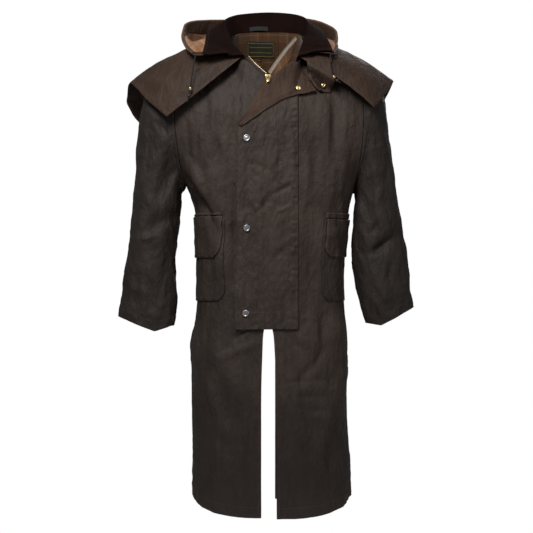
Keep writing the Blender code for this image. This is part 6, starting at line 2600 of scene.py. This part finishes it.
    def make_pull(self) -> None:
        """Makes the pull tab, a plate with a rounded end and a slot for the bridge, leant about X and tied to
        its own body.
        """
        x, y, z = self.slider_at
        hinge = np.array([x, y - self.slider_depth - 0.0003 - 0.0018, z + self.bridge_at])
        turns = span(0, 2 * math.pi, 33)[:-1]
        ring = np.stack([np.cos(turns), np.sin(turns)], axis=-1)
        square = np.sign(ring) * np.abs(ring) ** 0.5
        outline = square * np.array([0.0042, 0.0084]) + np.array([0.0, -0.0072])
        outline[:, 0] *= np.interp(outline[:, 1], [-0.016, -0.006, 0.0012], [0.86, 1.14, 0.98])
        slot = square * np.array([0.0018, 0.0026]) + np.array([0.0, -0.0036])
        lean = math.radians(90 - self.pull_lean)
        half, edge = self.pull_wall / 2, 0.0003
        loops = ((slot, half), (outline * (1 - 0.04), half), (outline, half - edge), (outline, edge - half))
        loops += ((outline * (1 - 0.04), -half), (slot, -half))
        points = []
        for shape, height in loops:
            for px, py in shape:
                turned_y = py * math.cos(lean) - height * math.sin(lean)
                turned_z = py * math.sin(lean) + height * math.cos(lean)
                points.append(hinge + np.array([px, turned_y, turned_z]))
        count = len(turns)
        starts = [k * count for k in range(len(loops))]
        pairs, after = zip(starts, starts[1:] + starts[:1]), np.roll(np.arange(count), -1)
        faces = [(a + i, b + i, b + j, a + j) for a, b in pairs for i, j in enumerate(after)]
        pull = plain_mesh("zip_pull", np.array(points), faces)
        pull.data.set_sharp_from_angle(angle=math.radians(40))
        place_piece(pull, BRASS, "zip_pull", body=PULL_BODY)

    def make(self) -> None:
        """Makes the whole zip."""
        self.make_tapes()
        self.make_chain()
        self.make_slider()
        self.make_pull()


@dataclass
class Snaps:
    """Three snap caps down the flap, and the brass sockets on its turned-back corner and the throat tab."""

    flap: StormFlap
    radius: float = 0.0088
    socket_radius: float = 0.0064
    height: float = 0.003
    caps: tuple[Place, ...] = ((-0.0515, -0.2065), (-0.0515, -0.4235), (-0.054, -0.6285))
    revers_at: Place = (0.0735, -0.0845)
    tab_at: Place = (0.132, -0.0775)
    cap: tuple[Place, ...] = (
        (0.0, 0.8), (0.22, 0.78), (0.42, 0.7), (0.54, 0.62), (0.6, 0.66), (0.66, 0.92), (0.72, 1.0),
        (0.8, 1.0), (0.88, 0.88), (0.95, 0.62), (0.99, 0.32), (1.0, 0.1), (0.97, 0.0), (0.0, 0.0),
    )
    socket: tuple[Place, ...] = (
        (0.0, 0.16), (0.3, 0.18), (0.4, 0.24), (0.46, 0.66), (0.54, 0.8), (0.64, 0.8), (0.72, 0.62),
        (0.8, 0.56), (0.92, 0.5), (0.98, 0.3), (1.0, 0.1), (0.97, 0.0), (0.0, 0.0),
    )

    def seat(self, place: Place, base: Grid, radius: float) -> tuple[Grid, Grid]:
        """The point and the normal of a cloth grid at a place of the front view, clear of the cloth there.

        Args:
            place: The snap's place.
            base: The cloth's outer points.
            radius: The snap's radius.

        Returns:
            The point and the normal.
        """
        points, normals = base.reshape(-1, 3), normals_of(base).reshape(-1, 3)
        away = np.hypot(points[:, 0] - place[0], points[:, 2] - place[1])
        under = away < radius + 0.002
        normal = unit(normals[under].mean(axis=0))
        nearest = points[np.argmin(away)]
        centre = np.array([place[0], nearest[1], place[1]])
        rise = ((points[under] - centre) @ normal).max()
        return centre + normal * (rise + 0.0002), normal

    def make(self) -> None:
        """Makes the snaps."""
        flap, wide, narrow = self.flap, self.socket_radius, self.socket_radius * 0.86
        caps = enumerate(self.caps, 1)
        jobs = [(f"flap_snap_{i}", p, flap.flap_points, self.radius, self.cap) for i, p in caps]
        jobs.append(("revers_snap", self.revers_at, flap.turned_points, wide, self.socket))
        jobs.append(("tab_snap", self.tab_at, flap.tab_points, narrow, self.socket))
        for name, place, base, radius, outline in jobs:
            point, normal = self.seat(place, base, radius)
            piece = turned(name, [(r * radius, h * self.height) for r, h in outline], point, normal)
            place_piece(piece, SNAP_STEEL if outline is self.cap else BRASS, name)


@dataclass
class HoodCords:
    """The hood's two drawcords with their free ends, and a ferrule and a toggle on each."""

    cape: Cape
    hood: Hood
    diameter: float = 0.0032
    routes: tuple[tuple[Point, ...], tuple[Point, ...]] = (
        (
        (-0.1745, -0.1185, -0.0075),
        (-0.1785, -0.1285, -0.024),
        (-0.184, -0.129, -0.06),
        (-0.188, -0.129, -0.09),
        (-0.1945, -0.13, -0.119),
    ),
        (
        (0.15, -0.118, -0.006),
        (0.15, -0.127, -0.02),
        (0.153, -0.13, -0.042),
        (0.1605, -0.131, -0.062),
        (0.1735, -0.132, -0.0735),
    ),
    )
    steps: int = 56
    lift: float = 0.005
    clearance: float = 0.0013
    ferrule_at: tuple[float, float] = (0.74, 0.72)
    toggle_at: tuple[float, float] = (0.87, 0.88)
    ferrule: tuple[Place, ...] = (
        *((0.0017, 0.0028), (0.003, 0.003), (0.0034, 0.0026), (0.0035, 0.0014), (0.0033, 0.0006)),
        *((0.0036, 0.0), (0.0033, -0.0006), (0.0035, -0.0014), (0.0034, -0.0026), (0.003, -0.003)),
        (0.0017, -0.0028),
    )
    toggle: tuple[Place, ...] = (
        (0.0017, 0.0028), (0.003, 0.0031), (0.0038, 0.0024), (0.0043, 0.0011), (0.0044, 0.0),
        (0.0043, -0.0011), (0.0038, -0.0024), (0.003, -0.0031), (0.0017, -0.0028),
    )

    def route(self, side: Side) -> Grid:
        """The cord's centreline, from the hood's front corner to its free end.

        Args:
            side: The wearer's side.

        Returns:
            Its points.
        """
        points = self.routes[side.index]
        route = curve_through(span(0, 1, len(points)), points, span(0, 1, self.steps + 1))
        route = lie_on(route[:, None], self.cape.points, self.lift)[:, 0]
        route[1:-1] = (route[:-2] + 2 * route[1:-1] + route[2:]) / 4
        corner = self.hood.shell_points[:, 0 if side is Side.RIGHT else -1]
        nearest = corner[np.argmin(np.linalg.norm(corner - route[0], axis=1))]
        shift = nearest + unit(route[0] - nearest) * self.clearance - route[0]
        return route + shift * (1 - smoothstep(span(0, 1, self.steps + 1) / 0.3))[:, None]

    def make(self) -> None:
        """Makes the cords and what is threaded on them."""
        for side in Side:
            route, name = self.route(side), side.value
            cord = tube(f"drawcord_{name}", route, self.diameter / 2, 16)
            place_piece(cord, CORD, f"drawcord_{name}")
            for kind, shares, outline, finish in (
                ("ferrule", self.ferrule_at, self.ferrule, BRASS),
                ("toggle", self.toggle_at, self.toggle, TOGGLE),
            ):
                i = round(shares[side.index] * self.steps)
                piece = turned(f"{kind}_{name}", outline, route[i], route[i - 2] - route[i + 2], 28)
                place_piece(piece, finish, f"{kind}_{name}")
            length = float(lengths_along(route[:, None], 0)[-1, 0])
            tuple(route[0])
            [tuple(p) for p in route]


@dataclass
class Studio:
    """The camera at the photo's angle, a pale floor, and soft light."""

    distance: float = 3.6
    centre: Place = (-0.00375, -0.51625)
    frame_width: float = 1.3325
    sensor: float = 36.0
    floor_height: float = -1.3
    floor_radius: float = 0.62
    key_power: float = 34.0
    fill_power: float = 9.0
    back_power: float = 42.0
    sky: float = 0.19

    def make_camera(self) -> None:
        """Makes the camera."""
        data = bpy.data.cameras.new("camera")
        data.sensor_width = self.sensor
        data.lens = self.sensor * self.distance / self.frame_width
        camera = bpy.data.objects.new("camera", data)
        camera.location = (self.centre[0], -self.distance, self.centre[1])
        camera.rotation_euler = (math.pi / 2, 0.0, 0.0)
        bpy.context.scene.collection.objects.link(camera)
        bpy.context.scene.camera = camera

    def make_light(self, name: str, place: Point, power: float, size: float) -> None:
        """Makes a soft square light that shines on the coat.

        Args:
            name: Its name.
            place: Where it stands.
            power: Its power in watts.
            size: Its side.
        """
        data = bpy.data.lights.new(name, "AREA")
        data.energy = power
        data.size = size
        light = bpy.data.objects.new(name, data)
        light.location = place
        toward = Vector((0.0, 0.0, -0.55)) - Vector(place)
        light.rotation_euler = toward.to_track_quat("-Z", "Y").to_euler()
        bpy.context.scene.collection.objects.link(light)

    def make_world(self) -> None:
        """Makes a sky that is white in view, and dimmer as a light."""
        world = bpy.data.worlds.new("sky")
        world.use_nodes = True
        tree = world.node_tree
        tree.nodes.clear()
        ways = tree.nodes.new("ShaderNodeLightPath")
        seen, light = tree.nodes.new("ShaderNodeBackground"), tree.nodes.new("ShaderNodeBackground")
        seen.inputs["Color"].default_value = (1.0, 1.0, 1.0, 1.0)
        light.inputs["Color"].default_value = (0.95, 0.97, 1.0, 1.0)
        light.inputs["Strength"].default_value = self.sky
        mix, out = tree.nodes.new("ShaderNodeMixShader"), tree.nodes.new("ShaderNodeOutputWorld")
        tree.links.new(ways.outputs["Is Camera Ray"], mix.inputs[0])
        tree.links.new(light.outputs[0], mix.inputs[1])
        tree.links.new(seen.outputs[0], mix.inputs[2])
        tree.links.new(mix.outputs[0], out.inputs["Surface"])
        bpy.context.scene.world = world

    def make_floor(self) -> None:
        """Makes a plain pale floor below the hem."""
        turn = span(0, 2 * math.pi, 65)[:-1]
        radius, height = self.floor_radius, self.floor_height
        rim = [(radius * math.cos(a), radius * math.sin(a), height) for a in turn]
        floor = plain_mesh("floor", np.array(rim), [range(len(rim))], smooth=False)
        mix = Recipe("pale_floor")
        grain = mix.noise(3.0)
        white = {
            "Base Color": mix.blend(grain, (0.86, 0.86, 0.86), (0.9, 0.9, 0.9)),
            "Roughness": 0.9,
            "Specular IOR Level": 0.0,
            "Emission Color": (1.0, 1.0, 1.0),
            "Emission Strength": 0.35,
        }
        floor.data.materials.append(mix.finish(white))

    def make(self) -> None:
        """Makes the floor, the sky and the lights."""
        scene = bpy.context.scene
        scene.view_settings.view_transform = "Standard"
        self.make_floor()
        self.make_world()
        self.make_light("key_light", (-0.5, -1.35, 0.95), self.key_power, 0.7)
        self.make_light("fill_light", (2.0, -1.6, 0.3), self.fill_power, 1.6)
        self.make_light("back_light", (0.6, 2.6, 1.2), self.back_power, 2.0)


def dress_nodes(frame: dict[str, Any]) -> None:
    """Gives every node of the frame the finish of its slot.
    """
    finishes = {finish.slot: finish for finish in NODE_FINISHES}
    for part in frame["record"]["subparts"]:
        node = frame["nodes"].get(part["node"])
        if node is not None:
            node.data.materials.clear()
            node.data.materials.append(material_of(finishes[part["material_slot"]]))


def main() -> None:
    """Builds the coat round the frame."""
    logging.basicConfig(level=logging.INFO, format="%(name)s: %(message)s")
    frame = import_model()
    studio = Studio()
    studio.make_camera()
    dress_nodes(frame)
    collar = Collar()
    body = Body(collar)
    cape = Cape(collar)
    hood = Hood(collar, cape)
    flap = StormFlap(body, cape)
    HoodCords(cape, hood).make()
    body.make()
    Sleeves(body).make()
    cape.make()
    hood.make()
    flap.make()
    collar.make(hood, cape, flap)
    Pockets(body).make()
    NeckLining(body, collar).make()
    Zip(body).make()
    Snaps(flap).make()
    studio.make()


if __name__ == "__main__":
    main()
